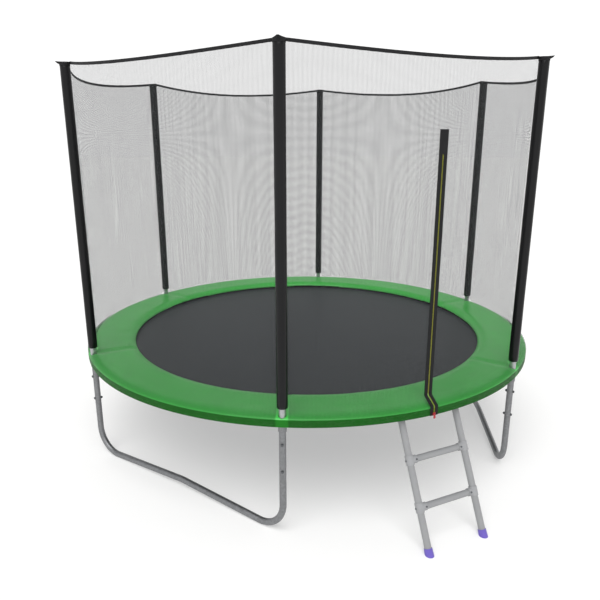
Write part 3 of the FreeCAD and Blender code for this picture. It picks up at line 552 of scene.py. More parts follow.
# %% Mat slices
for k in range(slices):
    start = slice_angle * k
    line = between((0.0, mat_high.z), (mat_r, mat_high.z), 30)
    bm = spun(line, start, start + slice_angle, 6)
    bmesh.ops.remove_doubles(bm, verts=bm.verts, dist=0.01 * mm)
    bmesh.ops.recalc_face_normals(bm, faces=bm.faces)
    if bm.faces[0].normal.z < 0:
        bmesh.ops.reverse_faces(bm, faces=bm.faces)
    bmesh.ops.solidify(bm, geom=bm.faces[:], thickness=mat_high.z - mat_low.z)
    mat_slice = add_piece(f"mat_slice_{k + 1}", bm, mat_finish, body=None,
                          stands_for=["jumping_mat"])
    half = math.radians(slice_angle / 2)
    sag_with_mat(mat_slice)
print("each slice weaves", round(mat_r ** 2 * half, 3), "m2 of cloth")

# %% [markdown]
# A doubled band of webbing is sewn round the mat's edge. Its section is a flat loop whose corners
# are cut before it is spun, which is cheaper than a bevel along every edge afterwards.

# %% Mat hem
def flat_section(inner, outer, low, high, corner):
    """A rectangle of (radius, height) points with cut corners."""
    return [(inner + corner, low), (outer - corner, low), (outer, low + corner),
            (outer, high - corner), (outer - corner, high), (inner + corner, high),
            (inner, high - corner), (inner, low + corner)]


hem_line = flat_section(mat_r, hem_r, hem_low.z, hem_high.z, 1 * mm)
for k in range(slices):
    start = slice_angle * k
    bm = spun(hem_line, start, start + slice_angle, 12, closed=True)
    bmesh.ops.holes_fill(bm, edges=[e for e in bm.edges if e.is_boundary], sides=8)
    outward(bm)
    hem = add_piece(f"mat_hem_{k + 1}", bm, webbing_finish, body=None,
                    stands_for=["mat_hem"])
    sag_with_mat(hem)
print("hem is", round((hem_r - mat_r) / mm), "mm wide")

# %% [markdown]
# Each spring hooks into a V-ring, a triangle of wire that a folded loop of webbing holds to the
# hem. The loop is a line folded round the wire, drawn out to its width and given its thickness.

# %% Webbing loop
base_r = 1.3148
loop_half = 11.5 * mm
loop_tail = 22 * mm
fold_r = 2.65 * mm
webbing_thickness = 1.2 * mm


def on_side(across, radius, height):
    """A point at the -Y side, from sideways, radius and height above the mat's plane."""
    return Vector((across, -radius, mat_z + height))


bm = bmesh.new()
bend = [on_side(-loop_half, base_r + fold_r * math.cos(t), fold_r * math.sin(t))
        for t in (math.radians(a) for a in range(90, -91, -30))]
tail_r = base_r - loop_tail
fold = [on_side(-loop_half, tail_r, fold_r)] + bend + [on_side(-loop_half, tail_r, -fold_r)]
corners = [bm.verts.new(point) for point in fold]
line = [bm.edges.new(pair) for pair in zip(corners, corners[1:])]
grown = bmesh.ops.extrude_edge_only(bm, edges=line)["geom"]
bmesh.ops.translate(bm, verts=[g for g in grown if isinstance(g, bmesh.types.BMVert)],
                    vec=(2 * loop_half, 0, 0))
outward(bm)
bmesh.ops.solidify(bm, geom=bm.faces[:], thickness=webbing_thickness)
loop_mesh = kept_mesh("webbing_loop", bm)
print("loop faces:", len(loop_mesh.polygons))

# %% [markdown]
# The V-ring is a rounded triangle of wire, wide where the webbing holds it and narrow where the
# spring pulls. Half of its path is written down, and the other half is its mirror image.

# %% V-ring
wire_v = 1.75 * mm
apex_r = 1.338
tip = apex_r + 1.6 * mm
triangle = [(-0.3 * mm, base_r), (-13 * mm, base_r), (-17.5 * mm, base_r + 1 * mm),
            (-18.6 * mm, base_r + 5 * mm), (-16.2 * mm, base_r + 8.5 * mm),
            (-3.4 * mm, tip - 3.2 * mm), (-1.6 * mm, tip - 1.9 * mm), (0, tip - 1.5 * mm)]
triangle += [(-across, radius) for across, radius in reversed(triangle[:-1])]
bm = bmesh.new()
bent_wire(bm, [on_side(across, radius, 0) for across, radius in triangle], wire_v, 8)
v_mesh = kept_mesh("v_ring", bm)
print("V-ring faces:", len(v_mesh.polygons))

# %% [markdown]
# A tension spring is a screw: a small circle spun about the spring's own line while it also moves
# along it. `bmesh.ops.spin` does both at once when it is given a `dvec`.

# %% Spring coil
wire_s = 1.6 * mm
coil_r = 8.4 * mm
coil_start, coil_end = 1.3535, 1.4775
pitch = 3.4 * mm
turns = round((coil_end - coil_start) / pitch)
steps_per_turn = 10

bm = bmesh.new()
stand = Matrix.Translation(on_side(0, coil_start, coil_r)) @ Matrix.Rotation(math.pi / 2, 4, "Y")
ring = bmesh.ops.create_circle(bm, segments=5, radius=wire_s, matrix=stand)["verts"]
edges = list({e for v in ring for e in v.link_edges})
bmesh.ops.spin(bm, geom=ring + edges, cent=on_side(0, coil_start, 0), axis=(0, -1, 0),
               dvec=(0, -pitch / steps_per_turn, 0), angle=math.tau * turns,
               steps=turns * steps_per_turn)
print("each spring has", turns, "turns of", round(2 * wire_s / mm, 1), "mm wire")

# %% [markdown]
# The hook for the V-ring and the tip for the ring's hole are bent wire too. Both leave the coil at
# its edge, as real ones do, and come back to the spring's middle line, along which it pulls.

# %% Spring hook and tip
eye_r = 8 * mm
eye_middle = 1.3422
hole_side_r = ring_r - 19 * mm
tip_r = hole_side_r + 5.5 * mm
eye = [on_side(0, coil_start, coil_r), on_side(0, coil_start - 4 * mm, coil_r - 0.3 * mm)]
eye += [on_side(0, eye_middle + eye_r * math.cos(t), eye_r * math.sin(t))
        for t in (math.radians(a) for a in range(70, 331, 26))]
bent_wire(bm, eye, wire_s, 6)
tail = [on_side(0, coil_end, coil_r), on_side(0, coil_end + 3 * mm, coil_r - 1 * mm),
        on_side(0, coil_end + 6 * mm, 2.5 * mm), on_side(0, coil_end + 9.5 * mm, 0),
        on_side(0, tip_r - 2.5 * mm, 0), on_side(0, tip_r - 0.7 * mm, -0.7 * mm),
        on_side(0, tip_r, -2.5 * mm), on_side(0, tip_r, -9 * mm)]
bent_wire(bm, tail, wire_s, 6)
bmesh.ops.recalc_face_normals(bm, faces=bm.faces)
spring_mesh = kept_mesh("tension_spring", bm)
print("each spring has", len(spring_mesh.polygons), "faces")

# %% [markdown]
# Sixty springs pull the mat tight, one every six degrees. The five that belong to a slice are one
# piece, as are their rings and loops.

# %% Springs round the mat
for k in range(slices):
    middle = slice_angle * (k + 0.5)
    angles = [slice_angle * k + 3 + 6 * i for i in range(5)]
    for name, mesh, finish, slot, node in (
            ("springs", spring_mesh, spring_finish, "spring_wire", "springs"),
            ("v_rings", v_mesh, spring_finish, "spring_wire", "v_rings"),
            ("webbing_loops", loop_mesh, webbing_finish, "mat_webbing", "webbing_loops")):
        piece = add_piece(f"{name}_{k + 1}", repeated(mesh, angles), finish, body=None,
                          stands_for=[node], crease=60)
        sag_with_mat(piece)
print("springs set:", 5 * slices)

# %% [markdown]
# ## The safety pad
#
# The pad is a long foam ring in a coated cover, with a flap that hangs outside the legs. Its
# section is drawn once: flat underneath, a small round at the inner edge, a wide round shoulder
# outside, and the flap. A spin all the way round makes the cover.

# %% Pad section
pad_inner = 1.260
pad_top, pad_under = 0.705, pad_low.z + 30.3 * mm
flap_inner = pad_r - 2.5 * mm
edge_round = 9 * mm
shoulder_out, shoulder_down = 32 * mm, 14 * mm
shoulder = [(pad_r - shoulder_out * (1 - math.sin(t)), pad_top - shoulder_down * (1 - math.cos(t)))
            for t in (math.radians(a) for a in range(0, 91, 15))]
round_in = [(pad_inner + edge_round * (1 - math.cos(t)), pad_top - edge_round * (1 - math.sin(t)))
            for t in (math.radians(a) for a in range(0, 91, 30))]
pad_line = (between((flap_inner, pad_under), (pad_inner, pad_under), 10)[:-1]
            + [(pad_inner, pad_under), (pad_inner, pad_top - 16 * mm)] + round_in
            + between((pad_inner + edge_round, pad_top), (pad_r - shoulder_out, pad_top), 12)[1:-1]
            + shoulder + between((pad_r, pad_top - shoulder_down), (pad_r, pad_low.z), 3)[1:]
            + between((flap_inner, pad_low.z), (flap_inner, pad_under), 3)[:-1])
print("pad is", round((pad_r - pad_inner) / mm), "mm wide, from", len(pad_line), "points")

# %% Pad cover
pad_steps = 288
bm = spun(pad_line, pole_angles[0], pole_angles[0] + 360, pad_steps, closed=True)
outward(bm)
pad_cover = add_piece("safety_pad_cover", bm, pad_finish, body=None,
                      stands_for=["safety_pad"])
print("pad cover faces before sewing:", len(pad_cover.data.polygons))

# %% [markdown]
# The cover is sewn across at each pole, so the foam swells between those seams and is drawn in
# along them. A cloth simulation with a little air pressure finds that shape: the flap, the
# underside and the seams are pinned, and the rest may swell.

# %% Air in the pad
def near_seam(point):
    """How far a point is, in metres round the pad, from the nearest sewn seam at a pole."""
    turn = (angle_of(point) - pole_angles[0]) % 60
    return math.radians(min(turn, 60 - turn)) * point.to_2d().length


def fill_with_air(piece):
    """Runs the cloth with its sewn parts pinned, and returns where each point settles."""
    mesh = piece.data
    held = [v.index for v in mesh.vertices
            if v.co.z < pad_under + 2 * mm or v.co.to_2d().length > pad_r - 8 * mm
            or near_seam(v.co) < 12 * mm]
    piece.vertex_groups.new(name="sewn").add(held, 1.0, "REPLACE")
    modifier = piece.modifiers.new("air", "CLOTH")
    cloth = modifier.settings
    cloth.vertex_group_mass = "sewn"
    cloth.use_pressure = True
    cloth.uniform_pressure_force = 3.0
    cloth.effector_weights.gravity = 0.0
    cloth.tension_stiffness = cloth.compression_stiffness = 25.0
    cloth.quality = 5
    scene = bpy.context.scene
    frames = 16
    modifier.point_cache.frame_start = 1
    modifier.point_cache.frame_end = frames
    for number in range(1, frames + 1):
        scene.frame_set(number)
    settled = piece.evaluated_get(bpy.context.evaluated_depsgraph_get())
    moved = [v.co.copy() for v in settled.data.vertices]
    piece.modifiers.remove(modifier)
    scene.frame_set(1)
    return moved


print("a point between two poles is", round(near_seam(Vector((0, -pad_r, 0))), 2), "m from a seam")

# %% [markdown]
# Air alone would blow the cover up like a tube. Foam holds the cloth down, so each point may move
# only a few millimetres from where it started.

# %% Swelling with a limit
def swell(piece, most):
    """Fills a piece with air, but keeps each point within a distance of where it started."""
    mesh = piece.data
    start = [v.co.copy() for v in mesh.vertices]
    moved = fill_with_air(piece)
    furthest = 0.0
    for vertex, before, after in zip(mesh.vertices, start, moved):
        step = after - before
        if step.length > most:
            step = step.normalized() * most
        furthest = max(furthest, step.length)
        vertex.co = before + step
    return furthest


swell_limit = 4 * mm
print(f"the cover swelled by up to {swell(pad_cover, swell_limit) / mm:.1f} mm")

# %% [markdown]
# The seams are pressed in, because the swelling cannot make a crease narrower than its
# faces. Between them the cloth ripples a little, in a wide and a narrow wave of smooth noise.

# %% Sewn seams
seam_depth, seam_half = 4 * mm, 9 * mm
for vertex in pad_cover.data.vertices:
    if vertex.co.z > pad_top - 12 * mm:
        radius = vertex.co.to_2d().length
        press = math.exp(-(near_seam(vertex.co) / seam_half) ** 2)
        vertex.co.z -= seam_depth * press
        ripple = noise.noise(vertex.co * 9.0) * 1.6 * mm + noise.noise(vertex.co * 23.0) * 0.7 * mm
        if pad_inner + 20 * mm < radius < pad_r - 40 * mm:
            vertex.co.z += ripple
print("six seams are", round(seam_depth / mm), "mm deep")

# %% [markdown]
# The pad's inner edge hangs off the springs, so it droops until it nearly lies on the mat. The droop
# starts gently and ends level, which is what the smooth step of a share between 0 and 1 gives.

# %% Drooping edge
droop, droop_end = 12 * mm, pad_inner + 60 * mm
for vertex in pad_cover.data.vertices:
    radius = vertex.co.to_2d().length
    share = max(0.0, min(1.0, (droop_end - radius) / (droop_end - pad_inner)))
    vertex.co.z -= droop * share ** 2 * (3 - 2 * share)
print("the inner edge droops", round(droop / mm), "mm")

# %% [markdown]
# Six poles pass through the pad, and the ladder's two hooks reach the ring under it. Each opening
# is a short round cutter, upright for a pole and on its side for a hook, and all of them are cut out
# at once with a Boolean.

# %% Cutters
pole_hole_r, hook_notch_r = 21.5 * mm, 28.5 * mm
pole_cut_z, pole_cut = 0.69, 70 * mm
ladder_angle = 0.65
hook_aside, hook_thick = 179.5 * mm, 8 * mm
ring_line_r, ring_line_z = 1.49728, 0.661
cutters = bmesh.new()
for angle in pole_angles:
    out = Matrix.Rotation(math.radians(angle), 4, "Z") @ Vector((0, -pole_r, pole_cut_z))
    bmesh.ops.create_cone(cutters, cap_ends=True, segments=28, radius1=pole_hole_r,
                          radius2=pole_hole_r, depth=pole_cut, matrix=Matrix.Translation(out))
hinge = Matrix.Rotation(math.radians(ladder_angle), 4, "Z")
for side in (-1, 1):
    place = hinge @ Matrix.Translation((side * hook_aside, -ring_line_r, ring_line_z))
    bmesh.ops.create_cone(cutters, cap_ends=True, segments=36, radius1=hook_notch_r,
                          radius2=hook_notch_r, depth=hook_thick,
                          matrix=place @ Matrix.Rotation(math.pi / 2, 4, "Y"))
cutter = bpy.data.objects.new("pad_cutters", kept_mesh("pad_cutters", cutters))
print("openings to cut:", len(pole_angles) + 2)

# %% Openings in the pad
bpy.context.scene.collection.objects.link(cutter)
modifier = pad_cover.modifiers.new("openings", "BOOLEAN")
modifier.object, modifier.solver = cutter, "EXACT"
settled = pad_cover.evaluated_get(bpy.context.evaluated_depsgraph_get())
cut_mesh = bpy.data.meshes.new_from_object(settled)
pad_cover.modifiers.clear()
pad_cover.data = cut_mesh
bpy.data.objects.remove(cutter)
cut_mesh.polygons.foreach_set("use_smooth", [True] * len(cut_mesh.polygons))
cut_mesh.set_sharp_from_angle(angle=math.radians(40))
print("pad cover faces:", len(cut_mesh.polygons))

# %% [markdown]
# The cover is one mesh with three materials: green above, a darker green on the flap, which is
# painted shade of its upright side, and black backing underneath, whose black runs up the inner
# edge too as painted shade where the pad meets the mat. They are told apart by where each face lies
# and which way it looks.

# %% Flap shade, backing and edge shade
backing_and_edge_shade, flap_painted_shade = 2, 1
for finish in (flap_shade_finish, black_backing_and_edge_shade_finish):
    cut_mesh.materials.append(finish)
for face in cut_mesh.polygons:
    radius = face.center.to_2d().length
    # Downward faces are the black backing; inner-edge faces take the same black as painted shade.
    if face.normal.z < -0.7 or radius < pad_inner + 1.5 * mm:
        face.material_index = backing_and_edge_shade
    # Flap faces take the darker green, painted shade of the upright side.
    elif face.center.z < pad_top - 15 * mm and radius > pad_r - 6 * mm:
        face.material_index = flap_painted_shade
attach(pad_cover, "frame")
print("flap faces:", sum(face.material_index == flap_painted_shade for face in cut_mesh.polygons))

# %% [markdown]
# A thin piping is sewn into the pad's inner edge, and a doubled hem weights the flap. Both are
# closed sections spun all the way round.

# %% Pad piping and flap hem
def round_section(radius, height, thickness, sides=8):
    """A circle of (radius, height) points."""
    turns_round = [math.tau * i / sides for i in range(sides)]
    return [(radius + thickness * math.cos(t), height + thickness * math.sin(t))
            for t in turns_round]


piping = round_section(pad_inner + 0.6 * mm, pad_top - droop - 9 * mm, 2 * mm)
bm = spun(piping, 0, 360, pad_steps, closed=True)
outward(bm)
add_piece("pad_piping", bm, pad_finish)
hem_section = flat_section(pad_r - 0.4 * mm, pad_r + 0.5 * mm, pad_low.z, pad_low.z + 12 * mm,
                           0.3 * mm)
bm = spun(hem_section, 0, 360, pad_steps, closed=True)
outward(bm)
add_piece("pad_flap_hem", bm, flap_shade_finish)
print("piping stands at", round(piping[0][0], 3), "m")

# %% [markdown]
# ## Foam sleeves
#
# Each pole wears a foam tube in a black coated skin. The skin is a lathe shape: its ends turn in to
# the pole, and it is pulled a little out of round along its length, as foam is.

# %% Foam sleeves
sleeve_r = (pole_high.x - pole_low.x) / 2
sleeve_bore, lip = 19.5 * mm, 3 * mm
sleeve_line = ([(sleeve_bore, pole_low.z), (sleeve_r - lip, pole_low.z)]
               + between((sleeve_r, pole_low.z + lip), (sleeve_r, pole_high.z - lip), 60)
               + [(sleeve_r - lip, pole_high.z), (sleeve_bore, pole_high.z)])
for number, angle in enumerate(pole_angles, 1):
    bm = spun(sleeve_line, 0, 360, 32)
    for vertex in bm.verts:
        if vertex.co.to_2d().length > sleeve_r - mm:
            around = Vector((vertex.co.x * 30, vertex.co.y * 30 + 7 * number, vertex.co.z * 5))
            dent = max(0.0, noise.noise(around)) * 0.9 * mm
            vertex.co.xy *= 1 - dent / sleeve_r
    outward(bm)
    place = Matrix.Rotation(math.radians(angle), 4, "Z") @ Matrix.Translation((0, -pole_r, 0))
    bmesh.ops.transform(bm, matrix=place, verts=bm.verts)
    sleeve = add_piece(f"foam_sleeve_{number}", bm, sleeve_finish,
                       stands_for=[f"pole_foam_{number}"], crease=50)
print("sleeve is", round(2 * sleeve_r / mm), "mm across")

# %% [markdown]
# ## The net
#
# The wall hangs from a strap that dips between the poles. The strap's height is a function of the
# angle, so that the panels, the strap and the hoods all agree on it.

# %% Strap's curve
net_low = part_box("door_panel")[0]
net_r = -net_low.y - 0.5 * mm
net_foot = net_low.z
strap_z = 2.490
strap_dip = 55 * mm
strap_half = 8 * mm


def strap_height(angle):
    """Height of the strap's middle, at an angle round the net."""
    across = math.sin(math.radians((angle + 30) % 60 - 30)) / math.sin(math.radians(30))
    return strap_z - strap_dip * (1 - across ** 2)


print("the strap is", strap_height(30), "m high at a pole and", strap_height(0), "m between")

# %% [markdown]
# The thread grid follows a UV map laid in metres, arc length by height, so that it keeps its size
# everywhere. Each sheet says where one of its points lies on the flat cloth, and one helper writes
# that for every corner.

# %% Cloth maps
def lay_uv(bm, place_of):
    """Writes a UV map in metres from each vertex's place on the cloth."""
    layer = bm.loops.layers.uv.new("cloth_metres")
    for face in bm.faces:
        for loop in face.loops:
            loop[layer].uv = place_of(loop.vert.co)


def net_wall_place(middle):
    """Place on a net panel's cloth, measured from its middle."""
    def place(point):
        turn = (angle_of(point) - middle + 180) % 360 - 180
        return math.radians(turn) * net_r, point.z
    return place


print("the door's foot lies at", net_wall_place(0)(Vector((0, -net_r, net_foot))), "on its cloth")

# %% [markdown]
# A panel is spun as a plain arc, and its points are then lowered to the strap's curve. Slack cloth
# folds a little inwards between its top and its foot, which two sizes of smooth noise give. The
# door is the same panel with a slit for the zip, cut between two planes and under a third.

# %% Hanging and cutting a panel
slack_depth = 6 * mm
slit_half, slit_top = 4.2 * mm, 1.995
rise = strap_z - net_foot


def hang(bm, k):
    """Lowers a plain arc to the strap's curve and folds its slack inwards."""
    for vertex in bm.verts:
        share = (vertex.co.z - net_foot) / rise
        turn = angle_of(vertex.co)
        top = strap_height(turn) - strap_half
        vertex.co.z = net_foot + share * (top - net_foot)
        slack = max(0.0, math.sin(math.pi * share)) ** 0.6
        fold = noise.noise(Vector((turn * 0.9, k * 5.0, share * 0.8)))
        fold += 0.5 * noise.noise(Vector((turn * 2.3, k * 3.0, share * 1.6)))
        vertex.co.xy *= 1 - (0.55 + fold) * slack_depth * slack / net_r


def cut_slit(bm):
    """Opens the door's slit behind the zip."""
    for x in (-slit_half, slit_half):
        bmesh.ops.bisect_plane(bm, geom=bm.verts[:] + bm.edges[:] + bm.faces[:],
                               plane_co=(x, 0, 0), plane_no=(1, 0, 0))
    bmesh.ops.bisect_plane(bm, geom=bm.verts[:] + bm.edges[:] + bm.faces[:],
                           plane_co=(0, 0, slit_top), plane_no=(0, 0, 1))
    gone = [f for f in bm.faces if abs(f.calc_center_median().x) < slit_half
            and f.calc_center_median().z < slit_top]
    bmesh.ops.delete(bm, geom=gone, context="FACES")


print("the slit is", round(2 * slit_half / mm, 1), "mm wide, up to", slit_top, "m")

# %% Net panels
for k in range(6):
    middle = 60 * k
    bm = spun(between((net_r, net_foot), (net_r, strap_z), 24), middle - 30, middle + 30, 48)
    hang(bm, k)
    if k == 0:
        cut_slit(bm)
    lay_uv(bm, net_wall_place(middle))
    name, node = ("net_door", "door_panel") if k == 0 else (f"net_panel_{k}", "net_panels")
    panel = add_piece(name, bm, net_finish, stands_for=[node], crease=180)
print("net wall radius", round(net_r, 4), "m, height at a pole", round(rise, 3), "m")

# %% [markdown]
# Below the wall the net is drawn out over the pad and down outside its flap. Its line starts at
# the wall's foot, bends over the pad's rim and ends at the flap's hem.

# %% Skirt's line
skirt_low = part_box("net_skirt")[0]
skirt_r = pad_r + 1.4 * mm
rim_z = pad_top - 3 * mm
slope = between((net_r, net_foot), (skirt_r - 5 * mm, rim_z + 3.4 * mm), 6)
skirt_line = slope + [(skirt_r - 2 * mm, rim_z + 0.6 * mm), (skirt_r, rim_z - 4 * mm)]
skirt_line += between((skirt_r, rim_z - 8 * mm), (skirt_r, skirt_low.z), 5)
lengths = [0.0]
for (r0, z0), (r1, z1) in zip(skirt_line, skirt_line[1:]):
    lengths.append(lengths[-1] + math.hypot(r1 - r0, z1 - z0))
print("skirt cloth is", round(lengths[-1] / mm), "mm wide")

# %% [markdown]
# The skirt is left open where each leg passes, and at the zip, so the line is spun in seven
# stretches. Its map goes on downwards from the wall's, from nothing into negative numbers, which is
# how the net finish knows that it has reached the flap.

# %% Net skirt
notch = math.degrees(33 * mm / skirt_r)
slit = math.degrees(slit_half / skirt_r)
stretches = [(-30 + notch, -slit), (slit, 30 - notch)]
stretches += [(60 * k - 30 + notch, 60 * k + 30 - notch) for k in range(1, 6)]


def skirt_place(middle):
    """Place on a stretch of skirt, measured from its middle and down from the wall's foot."""
    def place(point):
        radius = point.to_2d().length
        turn = (angle_of(point) - middle + 180) % 360 - 180
        down = math.hypot(min(radius, skirt_r) - net_r, net_foot - max(point.z, rim_z))
        return math.radians(turn) * skirt_r, -down - max(0.0, rim_z - point.z)
    return place


for number, (start, end) in enumerate(stretches, 1):
    bm = spun(skirt_line, start, end, max(8, round(end - start)))
    lay_uv(bm, skirt_place((start + end) / 2))
    skirt = add_piece(f"net_skirt_{number}", bm, net_finish,
                      stands_for=["net_skirt"], crease=180)
print("skirt stretches:", len(stretches))

# %% [markdown]
# The strap is flat webbing on edge. It is a closed section spun all the way round and then lowered
# between the poles, point by point, with the same curve as the net.

# %% Top strap
section = flat_section(net_r - 1 * mm, net_r + 1.2 * mm, -strap_half, strap_half, 0.5 * mm)
bm = spun(section, 0, 360, 240, closed=True)
for vertex in bm.verts:
    vertex.co.z += strap_height(angle_of(vertex.co))
outward(bm)
strap = add_piece("top_strap", bm, webbing_finish, stands_for=["top_band"])
print("strap is", round(math.tau * net_r, 2), "m round, and dips", round(strap_dip / mm), "mm")

# %% [markdown]
# Over each pole a small hood of the same webbing covers the tube's end. It starts as a grid drawn
# out to a tip with a low crown, and its rim is extruded down in three steps onto the foam sleeve.

# %% Hood's crown
hood_half, tip_half, crown_rise = 30 * mm, 4 * mm, 4 * mm
hood_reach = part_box("top_band")[1].x - pole_r
hood_top = strap_z + 0.6 * mm
bm = bmesh.new()
bmesh.ops.create_grid(bm, x_segments=8, y_segments=12, size=1.0)
for vertex in bm.verts:
    across, out = vertex.co.x, (1 - vertex.co.y) / 2
    back = net_r + (pole_r + hood_reach - net_r) * out
    past = max(0.0, (back - pole_r) / hood_reach)
    half = hood_half * (1 - past) + tip_half * past
    crown = crown_rise * (1 - across ** 2) * (1 - past) + crown_rise * past ** 2
    vertex.co = Vector((across * half, -back, hood_top + crown))
print("the hood reaches", round(hood_reach / mm), "mm past the pole")

# %% Hood's sides
rim = [edge for edge in bm.edges if edge.is_boundary]
for drop, beyond in ((5 * mm, 3 * mm), (12 * mm, 1.2 * mm), (20 * mm, 0.8 * mm)):
    grown = bmesh.ops.extrude_edge_only(bm, edges=rim)["geom"]
    for vertex in (g for g in grown if isinstance(g, bmesh.types.BMVert)):
        out = Vector((vertex.co.x, vertex.co.y + pole_r))
        reach = max(sleeve_r + beyond, out.length * 0.85 if drop < 6 * mm else 0)
        vertex.co.xy = out.normalized() * reach + Vector((0, -pole_r))
        vertex.co.z = hood_top - drop
    rim = [g for g in grown if isinstance(g, bmesh.types.BMEdge)]
bmesh.ops.recalc_face_normals(bm, faces=bm.faces)
if max(bm.faces, key=lambda face: face.calc_center_median().z).normal.z < 0:
    bmesh.ops.reverse_faces(bm, faces=bm.faces)
hood_area = sum(face.calc_area() for face in bm.faces)
bmesh.ops.solidify(bm, geom=bm.faces[:], thickness=1.0 * mm)
hood_mesh = kept_mesh("pole_hood", bm)
print("hood cloth is", round(hood_area * 1e4), "cm2")

# %% Hoods on the poles
for number, angle in enumerate(pole_angles, 1):
    hood = add_piece(f"pole_hood_{number}", repeated(hood_mesh, [angle]), webbing_finish,
                     stands_for=["top_band"])
print("hoods:", len(pole_angles))

# %% [markdown]
# ## The zip
#
# The door closes with a long zip on a strip of black tape, which follows the net down, out over the
# pad and down its flap. Tape and teeth follow one line, so the line is a function of how far it is
# lifted off the cloth.

# %% The zip's line
zip_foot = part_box("zip_tapes")[0].z
zip_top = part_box("zip_tapes")[1].z
teeth_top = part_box("zip_teeth")[1].z
wall_r = net_r + 0.6 * mm
wall_foot = net_foot + 12 * mm
flap_r = skirt_r + 1.0 * mm


def zip_line(top, lift):
    """The zip's line as (radius, height) points, lifted off the cloth."""
    wall = between((wall_r + lift, top), (wall_r + lift, wall_foot), 20)
    turn_out = [(wall_r + lift + 1 * mm, net_foot + 5 * mm)]
    over = between((wall_r + lift + 5 * mm, net_foot - 1 * mm + lift),
                   (flap_r + lift - 7 * mm, rim_z + 5 * mm + lift), 4)
    rim = [(flap_r + lift - 2 * mm, rim_z + 1.6 * mm + lift), (flap_r + lift, rim_z - 4 * mm)]
    return wall + turn_out + over + rim + between((flap_r + lift, rim_z - 10 * mm),
                                                  (flap_r + lift, zip_foot), 4)


# %% [markdown]
# The tape is two strips with a narrow gap between them, which the teeth close. On the wall a third
# strip lies behind the teeth, so that no daylight shows beside them. Each strip is the line drawn
# out sideways, and all three are welded and thickened together.

# %% Zip tape
def tape(bm, line, low, high):
    """A strip along the zip's line between two sideways limits."""
    corners = [bm.verts.new((low, -radius, height)) for radius, height in line]
    edges = [bm.edges.new(pair) for pair in zip(corners, corners[1:])]
    grown = bmesh.ops.extrude_edge_only(bm, edges=edges)["geom"]
    bmesh.ops.translate(bm, verts=[g for g in grown if isinstance(g, bmesh.types.BMVert)],
                        vec=(high - low, 0, 0))


tape_half, gap_half = 25 * mm, slit_half
tape_lift = tape_thickness = 1.2 * mm
bm = bmesh.new()
tape(bm, zip_line(zip_top, tape_lift), -tape_half, -gap_half)
tape(bm, zip_line(zip_top, tape_lift), gap_half, tape_half)
tape(bm, between((wall_r + tape_lift, zip_top), (wall_r + tape_lift, wall_foot), 20),
     -gap_half, gap_half)
bmesh.ops.remove_doubles(bm, verts=bm.verts, dist=0.01 * mm)
for face in bm.faces:
    if face.normal.y > 0:
        face.normal_flip()
bmesh.ops.solidify(bm, geom=bm.faces[:], thickness=tape_thickness)
tapes = add_piece("zip_tape_strip", bm, zip_tape_finish, stands_for=["zip_tapes"],
                  crease=50)

# %% [markdown]
# A nylon chain is hundreds of small blocks, which mesh because they stand left and right in turn.
# One block is made with a small bevel, and copies of it are set along the zip's line.

# %% One tooth
tooth_size = (4.0 * mm, 1.8 * mm, 1.7 * mm)
bm = bmesh.new()
bmesh.ops.create_cube(bm, size=1.0)
bmesh.ops.scale(bm, vec=tooth_size, verts=bm.verts)
bmesh.ops.bevel(bm, geom=bm.edges[:], offset=0.35 * mm, segments=1, profile=0.5,
                affect="EDGES", material=-1)
tooth_mesh = kept_mesh("zip_tooth", bm)
print("tooth faces:", len(tooth_mesh.polygons))

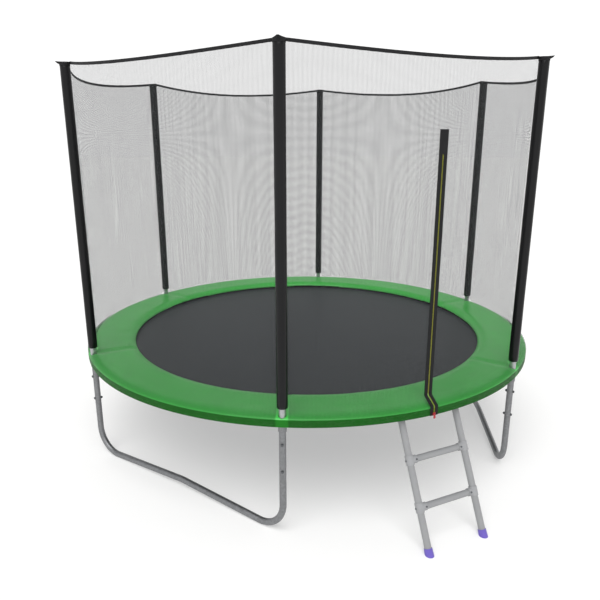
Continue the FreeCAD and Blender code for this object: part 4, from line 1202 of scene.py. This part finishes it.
# %% Zip chain
tooth_pitch, tooth_aside, chain_lift = 2.6 * mm, 1.3 * mm, 1.4 * mm
bm = bmesh.new()
line = [Vector((0, -radius, height)) for radius, height in zip_line(teeth_top, chain_lift)]
count, reach = 0, 0.0
for here, there in zip(line, line[1:]):
    run = (there - here).length
    facing = (there - here).to_track_quat("Z", "Y").to_matrix().to_4x4()
    while reach < run:
        spot = here.lerp(there, reach / run)
        aside = tooth_aside if count % 2 else -tooth_aside
        copy = tooth_mesh.copy()
        copy.transform(Matrix.Translation(spot + Vector((aside, 0, 0))) @ facing)
        bm.from_mesh(copy)
        bpy.data.meshes.remove(copy)
        reach += tooth_pitch
        count += 1
    reach -= run
add_piece("zip_chain", bm, chain_finish, stands_for=["zip_teeth"])
print("zip teeth:", count)

# %% [markdown]
# ## Stage and light
#
# A plain pale floor runs far past the view. It glows a little, as a light table does, which keeps
# the shadow under the pad pale.

# %% Floor
bm = bmesh.new()
bmesh.ops.create_circle(bm, cap_ends=True, segments=96, radius=60.0)
floor_mesh = kept_mesh("studio_floor", bm)
glow = {"Emission Color": hex_colour("#ffffff"), "Emission Strength": 0.35}
floor_finish = new_finish("pale_studio_floor", "#d2d2d1", 0.9, **glow)[0]
floor_mesh.materials.append(floor_finish)
floor = bpy.data.objects.new("studio_floor", floor_mesh)
bpy.context.scene.collection.objects.link(floor)
print("floor glow:", glow["Emission Strength"])

# %% [markdown]
# An even sky lights everything. It is white near the horizon and dimmer overhead, so that the floor
# and the air behind the net are equally bright. The Standard view shows each sRGB colour as it was
# chosen, where the default one would grey the black sleeves and the green pad.

# %% Sky
bpy.context.scene.view_settings.view_transform = "Standard"
horizon_level, overhead_level = 1.1, 0.42
world = bpy.data.worlds.new("studio_sky")
bpy.context.scene.world = world
world.use_nodes = True
sky = world.node_tree.nodes["Background"]
sky_tree = world.node_tree
way = add_node(sky_tree, "TexCoord").outputs["Generated"]
up = add_node(sky_tree, "SeparateXYZ", {"Vector": way})
level = add_node(sky_tree, "MapRange", {"Value": up.outputs["Z"], "From Min": 0.25,
                                        "From Max": 0.75, "To Min": horizon_level,
                                        "To Max": overhead_level})
sky.inputs["Color"].default_value = hex_colour("#ffffff")
sky_tree.links.new(level.outputs["Result"], sky.inputs["Strength"])
print("sky goes from", horizon_level, "to", overhead_level)

# %% [markdown]
# One sun, as wide as a large soft box, shapes the pad and the tubes without a hard shadow.

# %% Sun
sun_data = bpy.data.lights.new("soft_studio_sun", "SUN")
sun_data.energy = 2.1
sun_data.angle = math.radians(50)
sun = bpy.data.objects.new("soft_studio_sun", sun_data)
sun.rotation_euler = Vector((0.35, 0.5, -1.0)).to_track_quat("-Z", "Y").to_euler()
bpy.context.scene.collection.objects.link(sun)
print("sun strength", sun_data.energy)
